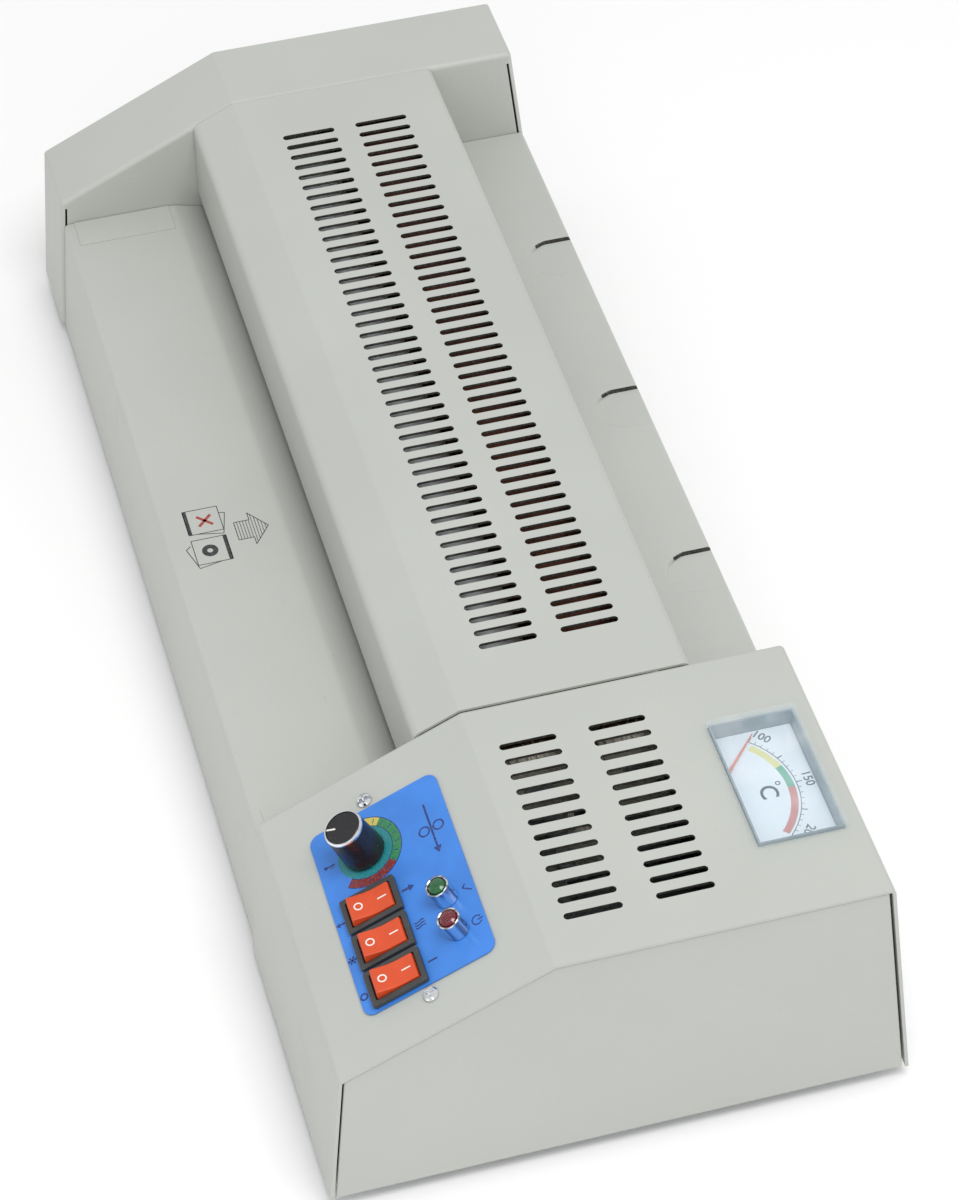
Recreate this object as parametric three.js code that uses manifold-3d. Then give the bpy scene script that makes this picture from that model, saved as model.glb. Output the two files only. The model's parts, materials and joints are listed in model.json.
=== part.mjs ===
// Desktop pouch laminator: sheet-metal body with two end covers, a slotted middle cover over four rollers,
// a feed table in front, an exit tray behind, and a sloping control face with knob, lamps and rockers.
// Millimetres. +X runs along the machine to the control end, -Y is the feed side, +Z is up, and the origin
// is the middle of the footprint at the feet.
import * as THREE from "three";
import { mergeVertices } from "three/addons/utils/BufferGeometryUtils.js";
import Module from "manifold-3d";

const wasm = await Module();
wasm.setup();

// ---- driving dimensions ----
const LENGTH = 500;
const BODY_H = 100;
const FOOT_H = 6;
const FRONT_LEAN = 5;
const REAR_LEAN = 12;
const SLOPE_RUN = 74;
const SLOPE_DROP = 36;
const TOP_DEPTH = 118;
const CONTROL_W = 117.4;
const FAR_W = 35;
const SHEET = 1.2;
const PAN_T = 1.5;
const PAN_FLANGE_H = 12;
const END_INSET = 0.6;
const GAP = 0.3;
const RUN_GAP = 0.5;

const TABLE_H = 53;
const TABLE_INSET = 1.4;
const TABLE_REACH = 2.4;
const TABLE_LIP_RUN = 13;
const TABLE_LIP_DROP = 3.6;
const TRAY_H = 57.8;
const TRAY_INSET = 0.4;
const TRAY_GAP = 4.4;
const NOTCH_COUNT = 3;
const NOTCH_PITCH = 92.8;
const NOTCH_R = 11;
const NOTCH_REACH = 20;
const NOTCH_DEPTH = 2;

const MOUTH_AHEAD = 16.8;
const MOUTH_LIP_H = 57.5;
const COVER_OVERHANG = 10.7;
const EXIT_LIP_H = 64;
const BEND_R = 5;
const LEDGE_W = 8;

const SLOT_W = 3.3;
const SLOT_PITCH = 6.504;
const SLOT_END_MARGIN = 27;
const SLOT_FRONT_MARGIN = 14.7;
const SLOT_ROW_GAP = 8.8;
const SLOT_REAR_MARGIN = 18.1;
const SIDE_SLOT_PITCH = 7.077;
const SIDE_SLOT_END_MARGIN = 19.5;
const SIDE_SLOT_FRONT_MARGIN = 8.6;
const SIDE_SLOT_ROW_GAP = 11.6;
const SIDE_SLOT_METER_GAP = 18.15;

const NIP_H = 59;
const NIP_GAP = 0.4;
const ROLLER_R = 13.8;
const RUBBER_T = 3;
const JOURNAL_R = 5;
const JOURNAL_STEP = 1.5;
const HOT_BEHIND = 23.5;
const PAIR_GAP = 8.4;
const FRAME_T = 2;
const FRAME_OFF = 4;
const FRAME_FRONT = 52;
const FRAME_REAR = 22;
const FRAME_TOP_GAP = 2;
const WINDOW_MARGIN = 5;
const JOURNAL_CLEAR = 0.15;
const HEATER_T = 2;
const HEATER_GAP = 2.6;
const HEATER_LIP_GAP = 1.5;
const HEATER_REACH = 0.87;
const STUD_R = 3;
const BLOCK_W = 20;
const BLOCK_T = 6;
const ROLLER_END_GAP = 3;

const ROLLER_TEETH = 28;
const IDLER_TEETH = 16;
const PINION_TEETH = 14;
const GEAR_W = 8;
const GEAR_OFF = 4;
const ADDENDUM = 0.85;
const DEDENDUM = 1.15;
const TOOTH_ROOT_SHARE = 0.3;
const TOOTH_TIP_SHARE = 0.1;
const PINION_ANGLE = 200;

const MOTOR_R = 25;
const MOTOR_L = 20;
const MOTOR_BOSS_R = 6;
const MOTOR_BOSS_H = 2;
const GEARBOX_L = 12;
const BRACKET_T = 2;
const BRACKET_OFF = 3;
const BRACKET_MARGIN = 4;
const PILLAR_R = 2;
const PILLAR_OUT = 25;

const CONTROL_OFF = 0.6;
const PANEL_DOWN = 41;
const PANEL_W = 80.6;
const PANEL_D = 50.4;
const PANEL_T = 0.6;
const PANEL_CORNER_R = 4;
const KNOB_OFF = -23;
const KNOB_DOWN = 48.7;
const KNOB_R = 8;
const KNOB_TOP_R = 7.1;
const KNOB_H = 18;
const KNOB_POINTER = 248;
const KNOB_LIFT = 0.6;
const KNOB_RIM_H = 1.2;
const KNOB_CAP_T = 3.7;
const RING_H = 1.4;
const RING_W = 0.8;
const POINTER_L = 4;
const POINTER_W = 1.1;
const POINTER_DEPTH = 0.4;
const SHAFT_R = 2.3;
const SHAFT_IN = 5;
const BUSHING_R = 3.6;
const BUSHING_H = 3;
const POT_R = 8;
const POT_H = 9;
const LAMP_OFF = 11.7;
const LAMP_PITCH = 14.4;
const LAMP_DOWN = 25.9;
const LAMP_R = 4.25;
const LAMP_H = 8;
const LAMP_STEM_R = 3;
const LAMP_STEM_L = 10;
const LAMP_WALL = 0.6;
const LAMP_WELL = 3;
const ROCKER_PITCH = 16;
const ROCKER_DOWN = 50.3;
const BEZEL_W = 14.8;
const BEZEL_D = 21;
const BEZEL_H = 2;
const ROCKER_W = 10.2;
const ROCKER_R = 8.2;
const ROCKER_TILT = 9;
const ROCKER_CLEAR = 0.35;
const HOUSING_WALL = 0.7;
const HOUSING_DEPTH = 7;
const HOUSING_FLOOR = 2;
const BLADE_W = 4.8;
const BLADE_T = 0.8;
const BLADE_L = 7;
const BLADE_PITCH = 6;
const PIVOT_DEPTH = 1.7;
const PIVOT_R = 1;
const PIVOT_CLEAR = 0.2;
const SCREW_DOWN = 42.3;
const SCREW_OUT = 44.1;
const SCREW_R = 2.7;
const SCREW_H = 1.5;
const SCREW_L = 7;
const CROSS_W = 0.7;
const CROSS_DEPTH = 0.9;

const METER_INSET = 22.5;
const METER_W = 57.6;
const METER_D = 32.7;
const METER_RISE = 3.5;
const METER_WALL = 1.5;
const METER_DIAL_DEPTH = 5.4;
const METER_BODY_H = 14;
const METER_FLANGE_T = 0.7;
const METER_SHELF_T = 1.2;
const METER_LID_T = 1;
const METER_PIVOT_BACK = 22.4;
const METER_PIVOT_MARGIN = 8;
const DIAL_T = 0.8;
const DIAL_HOLE_R = 1.6;
const NEEDLE_CLEAR = 0.8;
const NEEDLE_TAIL = 5;
const NEEDLE_ROOT_W = 1.6;
const NEEDLE_TIP_W = 0.5;
const NEEDLE_T = 0.5;
const NEEDLE_LIFT = 0.8;
const NEEDLE_HUB_R = 1.2;
const NEEDLE_ANGLE = 138;

const BOARD_W = 66;
const BOARD_D = 62;
const BOARD_T = 1.6;
const BOARD_RISE = 6;
const BOARD_IN_X = 12;
const BOARD_IN_Y = 22;
const STANDOFF_R = 2;
const STANDOFF_IN = 4;
// Each component: its near corner on the board, its width and depth, and its height.
const BOARD_BLOCKS = [
  [6, 8, 24, 20, 19],
  [38, 6, 17, 12, 14],
  [24, 48, 28, 2.5, 17],
];
// Each capacitor: its centre on the board, its radius and its height.
const BOARD_CANS = [
  [44, 34, 6, 22],
  [12, 44, 4, 12],
];
const TERMINAL_WAYS = 5;
const TERMINAL_PITCH = 8;
const TERMINAL_D = 16;
const TERMINAL_H = 11;
const TERMINAL_WELL_R = 2.2;
const TERMINAL_WELL = 5;
const TERMINAL_IN_X = 12;
const TERMINAL_IN_Y = 48;

const GLAND_R = 6;
const GLAND_NUT_R = 9;
const GLAND_NUT_H = 3;
const GLAND_DOME_H = 3;
const GLAND_TAIL = 9;
const GLAND_BORE_R = 2;
const GLAND_OFF = 30;
const GLAND_UP = 62;

const FOOT_R = 10;
const FOOT_TAPER = 1;
const FOOT_RECESS_R = 3.2;
const FOOT_IN_X = 32;
const FOOT_IN_Y = 26;

const THROUGH = 4;
const OVERLAP = 0.5;

// ---- outline of the body, seen from the control end: Y across, Z up ----
const BASE_Z = FOOT_H;
const TOP_Z = BASE_Z + BODY_H;
const DEPTH = FRONT_LEAN + SLOPE_RUN + TOP_DEPTH + REAR_LEAN;
const FRONT_Y = -DEPTH / 2 + FRONT_LEAN;
const CREASE_Y = FRONT_Y + SLOPE_RUN;
const REAR_Y = CREASE_Y + TOP_DEPTH;
const FRONT_WALL_H = BODY_H - SLOPE_DROP;
const SLOPE_ANGLE = Math.atan2(SLOPE_DROP, SLOPE_RUN);
const LEFT_X = -LENGTH / 2;
const RIGHT_X = LENGTH / 2;
const MID_X0 = LEFT_X + FAR_W;
const MID_X1 = RIGHT_X - CONTROL_W;
const MID_X = (MID_X0 + MID_X1) / 2;
const OUTLINE = [
  [-DEPTH / 2, BASE_Z],
  [FRONT_Y, BASE_Z + FRONT_WALL_H],
  [CREASE_Y, TOP_Z],
  [REAR_Y, TOP_Z],
  [DEPTH / 2, BASE_Z],
];

const frontWallY = (z) => FRONT_Y - (FRONT_LEAN * (BASE_Z + FRONT_WALL_H - z)) / FRONT_WALL_H;
const rearWallY = (z) => REAR_Y + (REAR_LEAN * (TOP_Z - z)) / BODY_H;
const slopeZ = (y) => TOP_Z - (CREASE_Y - y) * Math.tan(SLOPE_ANGLE);

// ---- solids ----
function solid(geometry) {
  const source = geometry.index ? geometry.toNonIndexed() : geometry;
  const plain = new THREE.BufferGeometry();
  plain.setAttribute("position", source.getAttribute("position"));
  const merged = mergeVertices(plain, 1e-4);
  const index = merged.index.array;
  const kept = [];
  for (let i = 0; i < index.length; i += 3) {
    const [a, b, c] = [index[i], index[i + 1], index[i + 2]];
    if (a !== b && b !== c && c !== a) kept.push(a, b, c);
  }
  return new wasm.Manifold(
    new wasm.Mesh({
      numProp: 3,
      vertProperties: merged.attributes.position.array,
      triVerts: new Uint32Array(kept),
    }),
  );
}

function geometryOf(body) {
  const mesh = body.getMesh();
  const geometry = new THREE.BufferGeometry();
  geometry.setAttribute("position", new THREE.BufferAttribute(mesh.vertProperties, 3));
  geometry.setIndex(new THREE.BufferAttribute(mesh.triVerts, 1));
  const faceted = geometry.toNonIndexed();
  faceted.computeVertexNormals();
  return faceted;
}

const joined = (first, ...rest) => rest.reduce((sum, body) => sum.add(body), first);
const cut = (first, ...rest) => rest.reduce((left, body) => left.subtract(body), first);

function box(x0, x1, y0, y1, z0, z1) {
  const geometry = new THREE.BoxGeometry(x1 - x0, y1 - y0, z1 - z0);
  return solid(geometry.translate((x0 + x1) / 2, (y0 + y1) / 2, (z0 + z1) / 2));
}

function shapeOf(points) {
  return new THREE.Shape(points.map(([a, b]) => new THREE.Vector2(a, b)));
}

// A YZ outline swept along X.
function alongX(points, x0, x1) {
  const geometry = new THREE.ExtrudeGeometry(shapeOf(points), { depth: x1 - x0, bevelEnabled: false });
  const turn = new THREE.Matrix4().makeBasis(
    new THREE.Vector3(0, 1, 0),
    new THREE.Vector3(0, 0, 1),
    new THREE.Vector3(1, 0, 0),
  );
  return solid(geometry.applyMatrix4(turn).translate(x0, 0, 0));
}

// One XY shape, or several, raised along Z.
function alongZ(shapes, z0, z1, curveSegments = 2) {
  const geometry = new THREE.ExtrudeGeometry(shapes, { depth: z1 - z0, bevelEnabled: false, curveSegments });
  return solid(geometry.translate(0, 0, z0));
}

function rodX(r, x0, x1, y, z, sides = 16) {
  const geometry = new THREE.CylinderGeometry(r, r, x1 - x0, sides);
  return solid(geometry.rotateZ(-Math.PI / 2).translate((x0 + x1) / 2, y, z));
}

function rodZ(r0, r1, x, y, z0, z1, sides = 24) {
  const geometry = new THREE.CylinderGeometry(r1, r0, z1 - z0, sides);
  return solid(geometry.rotateX(Math.PI / 2).translate(x, y, (z0 + z1) / 2));
}

// A path's parallel on its right-hand side, with mitred corners.
function parallel(path, distance) {
  const sides = path.slice(1).map(([y1, z1], i) => {
    const [y0, z0] = path[i];
    const length = Math.hypot(y1 - y0, z1 - z0);
    return [(z1 - z0) / length, -(y1 - y0) / length];
  });
  return path.map(([y, z], i) => {
    const a = sides[Math.max(i - 1, 0)];
    const b = sides[Math.min(i, sides.length - 1)];
    const share = distance / (1 + a[0] * b[0] + a[1] * b[1]);
    return [y + (a[0] + b[0]) * share, z + (a[1] + b[1]) * share];
  });
}

// The section of a folded sheet whose outer face follows the path.
const sheetSection = (path, thickness) => [...path, ...parallel(path, thickness).reverse()];

// Rounds the inner corners of a path with short arcs.
function rounded(path, radius, steps = 3) {
  const out = [path[0]];
  for (let i = 1; i < path.length - 1; i++) {
    const corner = new THREE.Vector2(...path[i]);
    const back = new THREE.Vector2(...path[i - 1]).sub(corner).normalize();
    const ahead = new THREE.Vector2(...path[i + 1]).sub(corner).normalize();
    const half = Math.acos(back.dot(ahead)) / 2;
    const reach = radius / Math.tan(half);
    const start = corner.clone().addScaledVector(back, reach);
    const end = corner.clone().addScaledVector(ahead, reach);
    const curve = new THREE.QuadraticBezierCurve(start, corner, end);
    curve.getPoints(steps).forEach((p) => out.push([p.x, p.y]));
  }
  out.push(path[path.length - 1]);
  return out;
}

function roundRect(cx, cy, w, d, r) {
  const shape = new THREE.Shape();
  const [x0, x1, y0, y1] = [cx - w / 2, cx + w / 2, cy - d / 2, cy + d / 2];
  shape.moveTo(x0 + r, y0).lineTo(x1 - r, y0);
  shape.absarc(x1 - r, y0 + r, r, -Math.PI / 2, 0, false);
  shape.lineTo(x1, y1 - r).absarc(x1 - r, y1 - r, r, 0, Math.PI / 2, false);
  shape.lineTo(x0 + r, y1).absarc(x0 + r, y1 - r, r, Math.PI / 2, Math.PI, false);
  shape.lineTo(x0, y0 + r).absarc(x0 + r, y0 + r, r, Math.PI, 1.5 * Math.PI, false);
  return shape;
}

// A round-ended slot that runs along Y.
function slotShape(x, y0, y1) {
  const r = SLOT_W / 2;
  const shape = new THREE.Shape();
  shape.absarc(x, y1 - r, r, 0, Math.PI, false);
  shape.absarc(x, y0 + r, r, Math.PI, 2 * Math.PI, false);
  return shape;
}

// The cutter for two rows of slots that fill the area, with as many in a row as its width takes.
function slotRows([x0, x1], [y0, y1], pitch, rowGap) {
  const steps = Math.floor((x1 - x0) / pitch);
  const firstX = (x0 + x1 - steps * pitch) / 2;
  const length = (y1 - y0 - rowGap) / 2;
  const shapes = [];
  for (const y of [y0, y1 - length]) {
    for (let i = 0; i <= steps; i++) shapes.push(slotShape(firstX + i * pitch, y, y + length));
  }
  return alongZ(shapes, TOP_Z - 2 * SHEET, TOP_Z + SHEET);
}

// ---- the two slanted faces as frames: x along, y up the face, z out of it ----
const slopeFace = new THREE.Group();
slopeFace.position.set(0, CREASE_Y, TOP_Z);
slopeFace.rotation.x = SLOPE_ANGLE;
slopeFace.updateMatrix();

const rearFace = new THREE.Group();
rearFace.position.set(0, rearWallY(BASE_Z + GLAND_UP), BASE_Z + GLAND_UP);
rearFace.rotation.x = -Math.atan2(BODY_H, REAR_LEAN);
rearFace.updateMatrix();

const onSlope = (body) => body.transform([...slopeFace.matrix.elements]);

// ---- places that several pieces share ----
const HOT_Y = CREASE_Y + HOT_BEHIND;
const PULL_Y = HOT_Y + 2 * ROLLER_R + PAIR_GAP;
const NIP_Z = BASE_Z + NIP_H;
const AXIS_RISE = ROLLER_R + NIP_GAP / 2;
const UPPER_Z = NIP_Z + AXIS_RISE;
const LOWER_Z = NIP_Z - AXIS_RISE;
const MODULE = (2 * AXIS_RISE) / ROLLER_TEETH;
const TABLE_Z = BASE_Z + TABLE_H;
const TRAY_Z = BASE_Z + TRAY_H;
const MOUTH_Y = CREASE_Y - MOUTH_AHEAD;
const COVER_REAR_Y = PULL_Y + ROLLER_R + COVER_OVERHANG;
const FRAME_X0 = MID_X0 - FRAME_OFF;
const FRAME_X1 = MID_X1 + FRAME_OFF;
const ROLLER_X0 = MID_X0 + ROLLER_END_GAP;
const ROLLER_X1 = MID_X1 - ROLLER_END_GAP;
const GEAR_X0 = FRAME_X1 + FRAME_T + GEAR_OFF;
const GEAR_X1 = GEAR_X0 + GEAR_W;
const PAN_INSET = TABLE_INSET + SHEET + RUN_GAP;
const PAN_TOP = BASE_Z + PAN_T;
const COVER_UNDER = -SHEET - GAP;
const CONTROL_X = (MID_X1 + RIGHT_X) / 2 + CONTROL_OFF;
const METER_Y = REAR_Y - METER_INSET;
const METER_PIVOT_Y = METER_Y - METER_PIVOT_BACK;
const PANEL_TOP = GAP + PANEL_T;
const BEZEL_TOP = PANEL_TOP + GAP + BEZEL_H;
const PIVOT_Z = BEZEL_TOP - PIVOT_DEPTH;
const KNOB_X = CONTROL_X + KNOB_OFF;
const ROCKER_XS = [0, 1, 2].map((i) => CONTROL_X + i * ROCKER_PITCH);
const LAMP_XS = [0, 1].map((i) => CONTROL_X + LAMP_OFF + i * LAMP_PITCH);
const SCREW_XS = [-1, 1].map((side) => CONTROL_X + side * SCREW_OUT);
const GEAR_REACH = (MODULE * (ROLLER_TEETH + IDLER_TEETH)) / 2;
const IDLER_Y = (HOT_Y + PULL_Y) / 2;
const IDLER_Z = LOWER_Z - Math.sqrt(GEAR_REACH ** 2 - (IDLER_Y - HOT_Y) ** 2);
const PINION_REACH = (MODULE * (ROLLER_TEETH + PINION_TEETH)) / 2;
const PINION_TURN = THREE.MathUtils.degToRad(PINION_ANGLE);
const PINION_Y = HOT_Y + PINION_REACH * Math.cos(PINION_TURN);
const PINION_Z = LOWER_Z + PINION_REACH * Math.sin(PINION_TURN);
const BRACKET_X = GEAR_X1 + BRACKET_OFF;
const GEARBOX_X = BRACKET_X + BRACKET_T + GAP;
const GLAND_X = CONTROL_X + GLAND_OFF;

const root = new THREE.Group();
root.add(slopeFace, rearFace);

const FINISH = {
  enamel: { color: 0xcdd0ca, roughness: 0.45, metalness: 0.1 },
  steel: { color: 0xb9bcc0, roughness: 0.3, metalness: 0.9 },
  zinc: { color: 0x9fa3a6, roughness: 0.5, metalness: 0.8 },
  rubber: { color: 0x8a3a2c, roughness: 0.7, metalness: 0 },
  blackRubber: { color: 0x1d1d1d, roughness: 0.8, metalness: 0 },
  nylon: { color: 0xe6e2d6, roughness: 0.5, metalness: 0 },
  bronze: { color: 0xa9793f, roughness: 0.4, metalness: 0.8 },
  blackPlastic: { color: 0x1b1c1e, roughness: 0.4, metalness: 0 },
  greyPlastic: { color: 0x55585a, roughness: 0.5, metalness: 0 },
  orangePlastic: { color: 0xe6552a, roughness: 0.4, metalness: 0 },
  bluePanel: { color: 0x3a86e6, roughness: 0.5, metalness: 0 },
  chrome: { color: 0xdfe2e6, roughness: 0.1, metalness: 1 },
  greenLens: { color: 0x1f6b38, roughness: 0.2, metalness: 0 },
  redLens: { color: 0x6b1420, roughness: 0.2, metalness: 0 },
  clear: { color: 0xc7dbe6, roughness: 0.05, metalness: 0, transparent: true, opacity: 0.35 },
  dial: { color: 0xdfeaf2, roughness: 0.6, metalness: 0 },
  board: { color: 0x2f6a3c, roughness: 0.6, metalness: 0 },
};

function add(name, body, finish, parent = root) {
  const mesh = new THREE.Mesh(geometryOf(body), new THREE.MeshStandardMaterial(FINISH[finish]));
  mesh.name = name;
  parent.add(mesh);
  return mesh;
}

// ---- body panels ----
function basePan() {
  const flangeZ = BASE_Z + PAN_FLANGE_H;
  const path = [
    [rearWallY(flangeZ) - PAN_INSET, flangeZ],
    [rearWallY(BASE_Z) - PAN_INSET, BASE_Z],
    [frontWallY(BASE_Z) + PAN_INSET, BASE_Z],
    [frontWallY(flangeZ) + PAN_INSET, flangeZ],
  ];
  const end = END_INSET + SHEET + GAP;
  return alongX(sheetSection(path, PAN_T), LEFT_X + end, RIGHT_X - end);
}

function feedTable() {
  const innerY = MOUTH_Y + TABLE_REACH;
  const path = [
    [frontWallY(BASE_Z) + TABLE_INSET, BASE_Z],
    [frontWallY(TABLE_Z) + TABLE_INSET, TABLE_Z],
    [innerY - TABLE_LIP_RUN, TABLE_Z],
    [innerY, TABLE_Z - TABLE_LIP_DROP],
  ];
  return alongX(sheetSection(path, SHEET), MID_X0 + GAP, MID_X1 - GAP);
}

// A U-shaped thumb notch, open towards the rear.
function notchShape(x, endY, radius) {
  const shape = new THREE.Shape();
  const openY = endY + radius + NOTCH_REACH;
  shape.moveTo(x + radius, openY);
  shape.lineTo(x - radius, openY);
  shape.absarc(x, endY + NOTCH_R, radius, Math.PI, 2 * Math.PI, false);
  return shape;
}

function exitTray() {
  const outerY = rearWallY(TRAY_Z) - TRAY_INSET;
  const path = [
    [PULL_Y + ROLLER_R + TRAY_GAP, TRAY_Z],
    [outerY, TRAY_Z],
    [rearWallY(BASE_Z) - TRAY_INSET, BASE_Z],
  ];
  const sheet = alongX(sheetSection(path, SHEET), MID_X0 + GAP, MID_X1 - GAP);
  const inside = alongX([...path, [path[0][0], BASE_Z]], MID_X0 + GAP, MID_X1 - GAP);
  const firstX = MID_X - ((NOTCH_COUNT - 1) / 2) * NOTCH_PITCH;
  const centres = Array.from({ length: NOTCH_COUNT }, (_, i) => firstX + i * NOTCH_PITCH);
  const endY = outerY - NOTCH_REACH;
  const notches = (radius) => centres.map((x) => notchShape(x, endY, radius));
  const floorZ = TRAY_Z - NOTCH_DEPTH;
  const pressed = alongZ(notches(NOTCH_R + SHEET), floorZ - SHEET, TRAY_Z - SHEET / 2, 6);
  const hollow = alongZ(notches(NOTCH_R), floorZ, TRAY_Z + SHEET, 6);
  return cut(joined(sheet, pressed.intersect(inside)), hollow);
}

function topCover() {
  const path = rounded(
    [
      [MOUTH_Y, BASE_Z + MOUTH_LIP_H],
      [MOUTH_Y, slopeZ(MOUTH_Y)],
      [CREASE_Y, TOP_Z],
      [COVER_REAR_Y, TOP_Z],
      [COVER_REAR_Y, BASE_Z + EXIT_LIP_H],
    ],
    BEND_R,
  );
  const shell = alongX(sheetSection(path, SHEET), MID_X0 + GAP, MID_X1 - GAP);
  const slots = slotRows(
    [MID_X0 + SLOT_END_MARGIN, MID_X1 - SLOT_END_MARGIN],
    [CREASE_Y + SLOT_FRONT_MARGIN, COVER_REAR_Y - SLOT_REAR_MARGIN],
    SLOT_PITCH,
    SLOT_ROW_GAP,
  );
  return cut(shell, slots);
}

// The folded shell of an end cover with its inner wall, roller window and the ledge for the middle cover.
function endCover(outerX, innerX) {
  const inward = Math.sign(innerX - outerX);
  const shell = alongX(sheetSection(OUTLINE, SHEET), Math.min(outerX, innerX), Math.max(outerX, innerX));
  const wallX = innerX - inward * SHEET;
  const low = BASE_Z + PAN_FLANGE_H + RUN_GAP;
  const wall = cut(
    alongX(parallel(OUTLINE, SHEET / 2), Math.min(innerX, wallX), Math.max(innerX, wallX)),
    box(-LENGTH, LENGTH, -DEPTH / 2 + SHEET, DEPTH / 2 - SHEET, 0, low),
    box(
      -LENGTH,
      LENGTH,
      MOUTH_Y + WINDOW_MARGIN,
      COVER_REAR_Y - WINDOW_MARGIN,
      LOWER_Z - ROLLER_R - WINDOW_MARGIN,
      UPPER_Z + ROLLER_R + WINDOW_MARGIN / 2,
    ),
  );
  const ledgeX = innerX + inward * LEDGE_W;
  const ledgeTop = TOP_Z - SHEET - GAP;
  const ledge = box(
    Math.min(wallX, ledgeX),
    Math.max(wallX, ledgeX),
    CREASE_Y + BEND_R,
    COVER_REAR_Y - SHEET - BEND_R,
    ledgeTop - SHEET,
    ledgeTop,
  );
  return joined(shell, wall, ledge);
}

// A clearance hole through a face, in the face's own frame.
const hole = (r, x, y) => rodZ(r + GAP, r + GAP, x, y, -THROUGH, THROUGH, 16);

// The holes that the switches, the knob's bushing and the lamps pass through.
const controlHoles = () => [
  ...ROCKER_XS.map((x) => housingBlock(x, GAP, -THROUGH, THROUGH)),
  hole(BUSHING_R, KNOB_X, -KNOB_DOWN),
  ...LAMP_XS.map((x) => hole(LAMP_STEM_R, x, -LAMP_DOWN)),
];

function controlCover() {
  const halfW = (RIGHT_X - MID_X1) / 2 - SIDE_SLOT_END_MARGIN;
  const slots = slotRows(
    [CONTROL_X - halfW, CONTROL_X + halfW],
    [CREASE_Y + SIDE_SLOT_FRONT_MARGIN, METER_Y - METER_D / 2 - SIDE_SLOT_METER_GAP],
    SIDE_SLOT_PITCH,
    SIDE_SLOT_ROW_GAP,
  );
  const screwHoles = SCREW_XS.map((x) => hole(SCREW_R / 2, x, -SCREW_DOWN));
  return cut(
    endCover(RIGHT_X, MID_X1),
    slots,
    meterFrame(METER_WALL - GAP, TOP_Z - THROUGH, TOP_Z + THROUGH),
    ...[...controlHoles(), ...screwHoles].map(onSlope),
    hole(GLAND_R, GLAND_X, 0).transform([...rearFace.matrix.elements]),
  );
}

function endPlate(side) {
  const outer = side * (LENGTH / 2 - END_INSET);
  const inner = outer - side * SHEET;
  return alongX(parallel(OUTLINE, SHEET + GAP), Math.min(outer, inner), Math.max(outer, inner));
}

// ---- roller frame ----
const BLOCK_HALF_H = AXIS_RISE + BLOCK_W / 2;
const FRAME_TOP = UPPER_Z + ROLLER_R + FRAME_TOP_GAP;

function sideFrame(x0) {
  const x1 = x0 + FRAME_T;
  const inside = alongX(parallel(OUTLINE, SHEET + FRAME_TOP_GAP), x0, x1);
  const plate = box(x0, x1, HOT_Y - FRAME_FRONT, PULL_Y + FRAME_REAR, PAN_TOP + GAP, FRAME_TOP);
  const half = BLOCK_W / 2 + GAP;
  const [low, high] = [NIP_Z - BLOCK_HALF_H - GAP, NIP_Z + BLOCK_HALF_H + GAP];
  const windows = [HOT_Y, PULL_Y].map((y) => box(x0 - OVERLAP, x1 + OVERLAP, y - half, y + half, low, high));
  return cut(plate.intersect(inside), ...windows);
}

function controlSideFrame() {
  return joined(sideFrame(FRAME_X1), rodX(STUD_R, FRAME_X1, GEAR_X1 + JOURNAL_STEP, IDLER_Y, IDLER_Z));
}

function bearingBlock(frameX0, y) {
  const x0 = frameX0 + FRAME_T / 2 - BLOCK_T / 2;
  const [x1, half] = [x0 + BLOCK_T, BLOCK_W / 2];
  const block = box(x0, x1, y - half, y + half, NIP_Z - BLOCK_HALF_H, NIP_Z + BLOCK_HALF_H);
  const bore = (z) => rodX(JOURNAL_R + JOURNAL_CLEAR, x0 - OVERLAP, x1 + OVERLAP, y, z);
  return cut(block, bore(UPPER_Z), bore(LOWER_Z));
}

function heaterPlate(side) {
  const startY = MOUTH_Y + SHEET + WINDOW_MARGIN;
  const endY = HOT_Y - ROLLER_R * HEATER_REACH;
  const startZ = side > 0 ? BASE_Z + MOUTH_LIP_H + HEATER_LIP_GAP : TABLE_Z - TABLE_LIP_DROP + SHEET;
  const path = [
    [startY, startZ],
    [endY, NIP_Z + side * HEATER_GAP],
  ];
  const ordered = side > 0 ? path.reverse() : path;
  return alongX(sheetSection(ordered, HEATER_T), FRAME_X0 + GAP, FRAME_X1 - GAP);
}

const journal = (y, z) => rodX(JOURNAL_R, FRAME_X0 - FRAME_T - BLOCK_T / 2, GEAR_X1 + JOURNAL_STEP, y, z);

const steelRoller = (y, z) => joined(rodX(ROLLER_R, ROLLER_X0, ROLLER_X1, y, z, 28), journal(y, z));

function rollerCore(y, z) {
  return joined(rodX(ROLLER_R - RUBBER_T - GAP, ROLLER_X0, ROLLER_X1, y, z, 20), journal(y, z));
}

function rubberSleeve(y, z) {
  const outer = rodX(ROLLER_R, ROLLER_X0, ROLLER_X1, y, z, 28);
  return cut(outer, rodX(ROLLER_R - RUBBER_T, ROLLER_X0 - OVERLAP, ROLLER_X1 + OVERLAP, y, z, 20));
}

// ---- gears: straight teeth, one of them centred on the given angle from +Y towards +Z ----
const pitchRadius = (teeth) => (MODULE * teeth) / 2;

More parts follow.
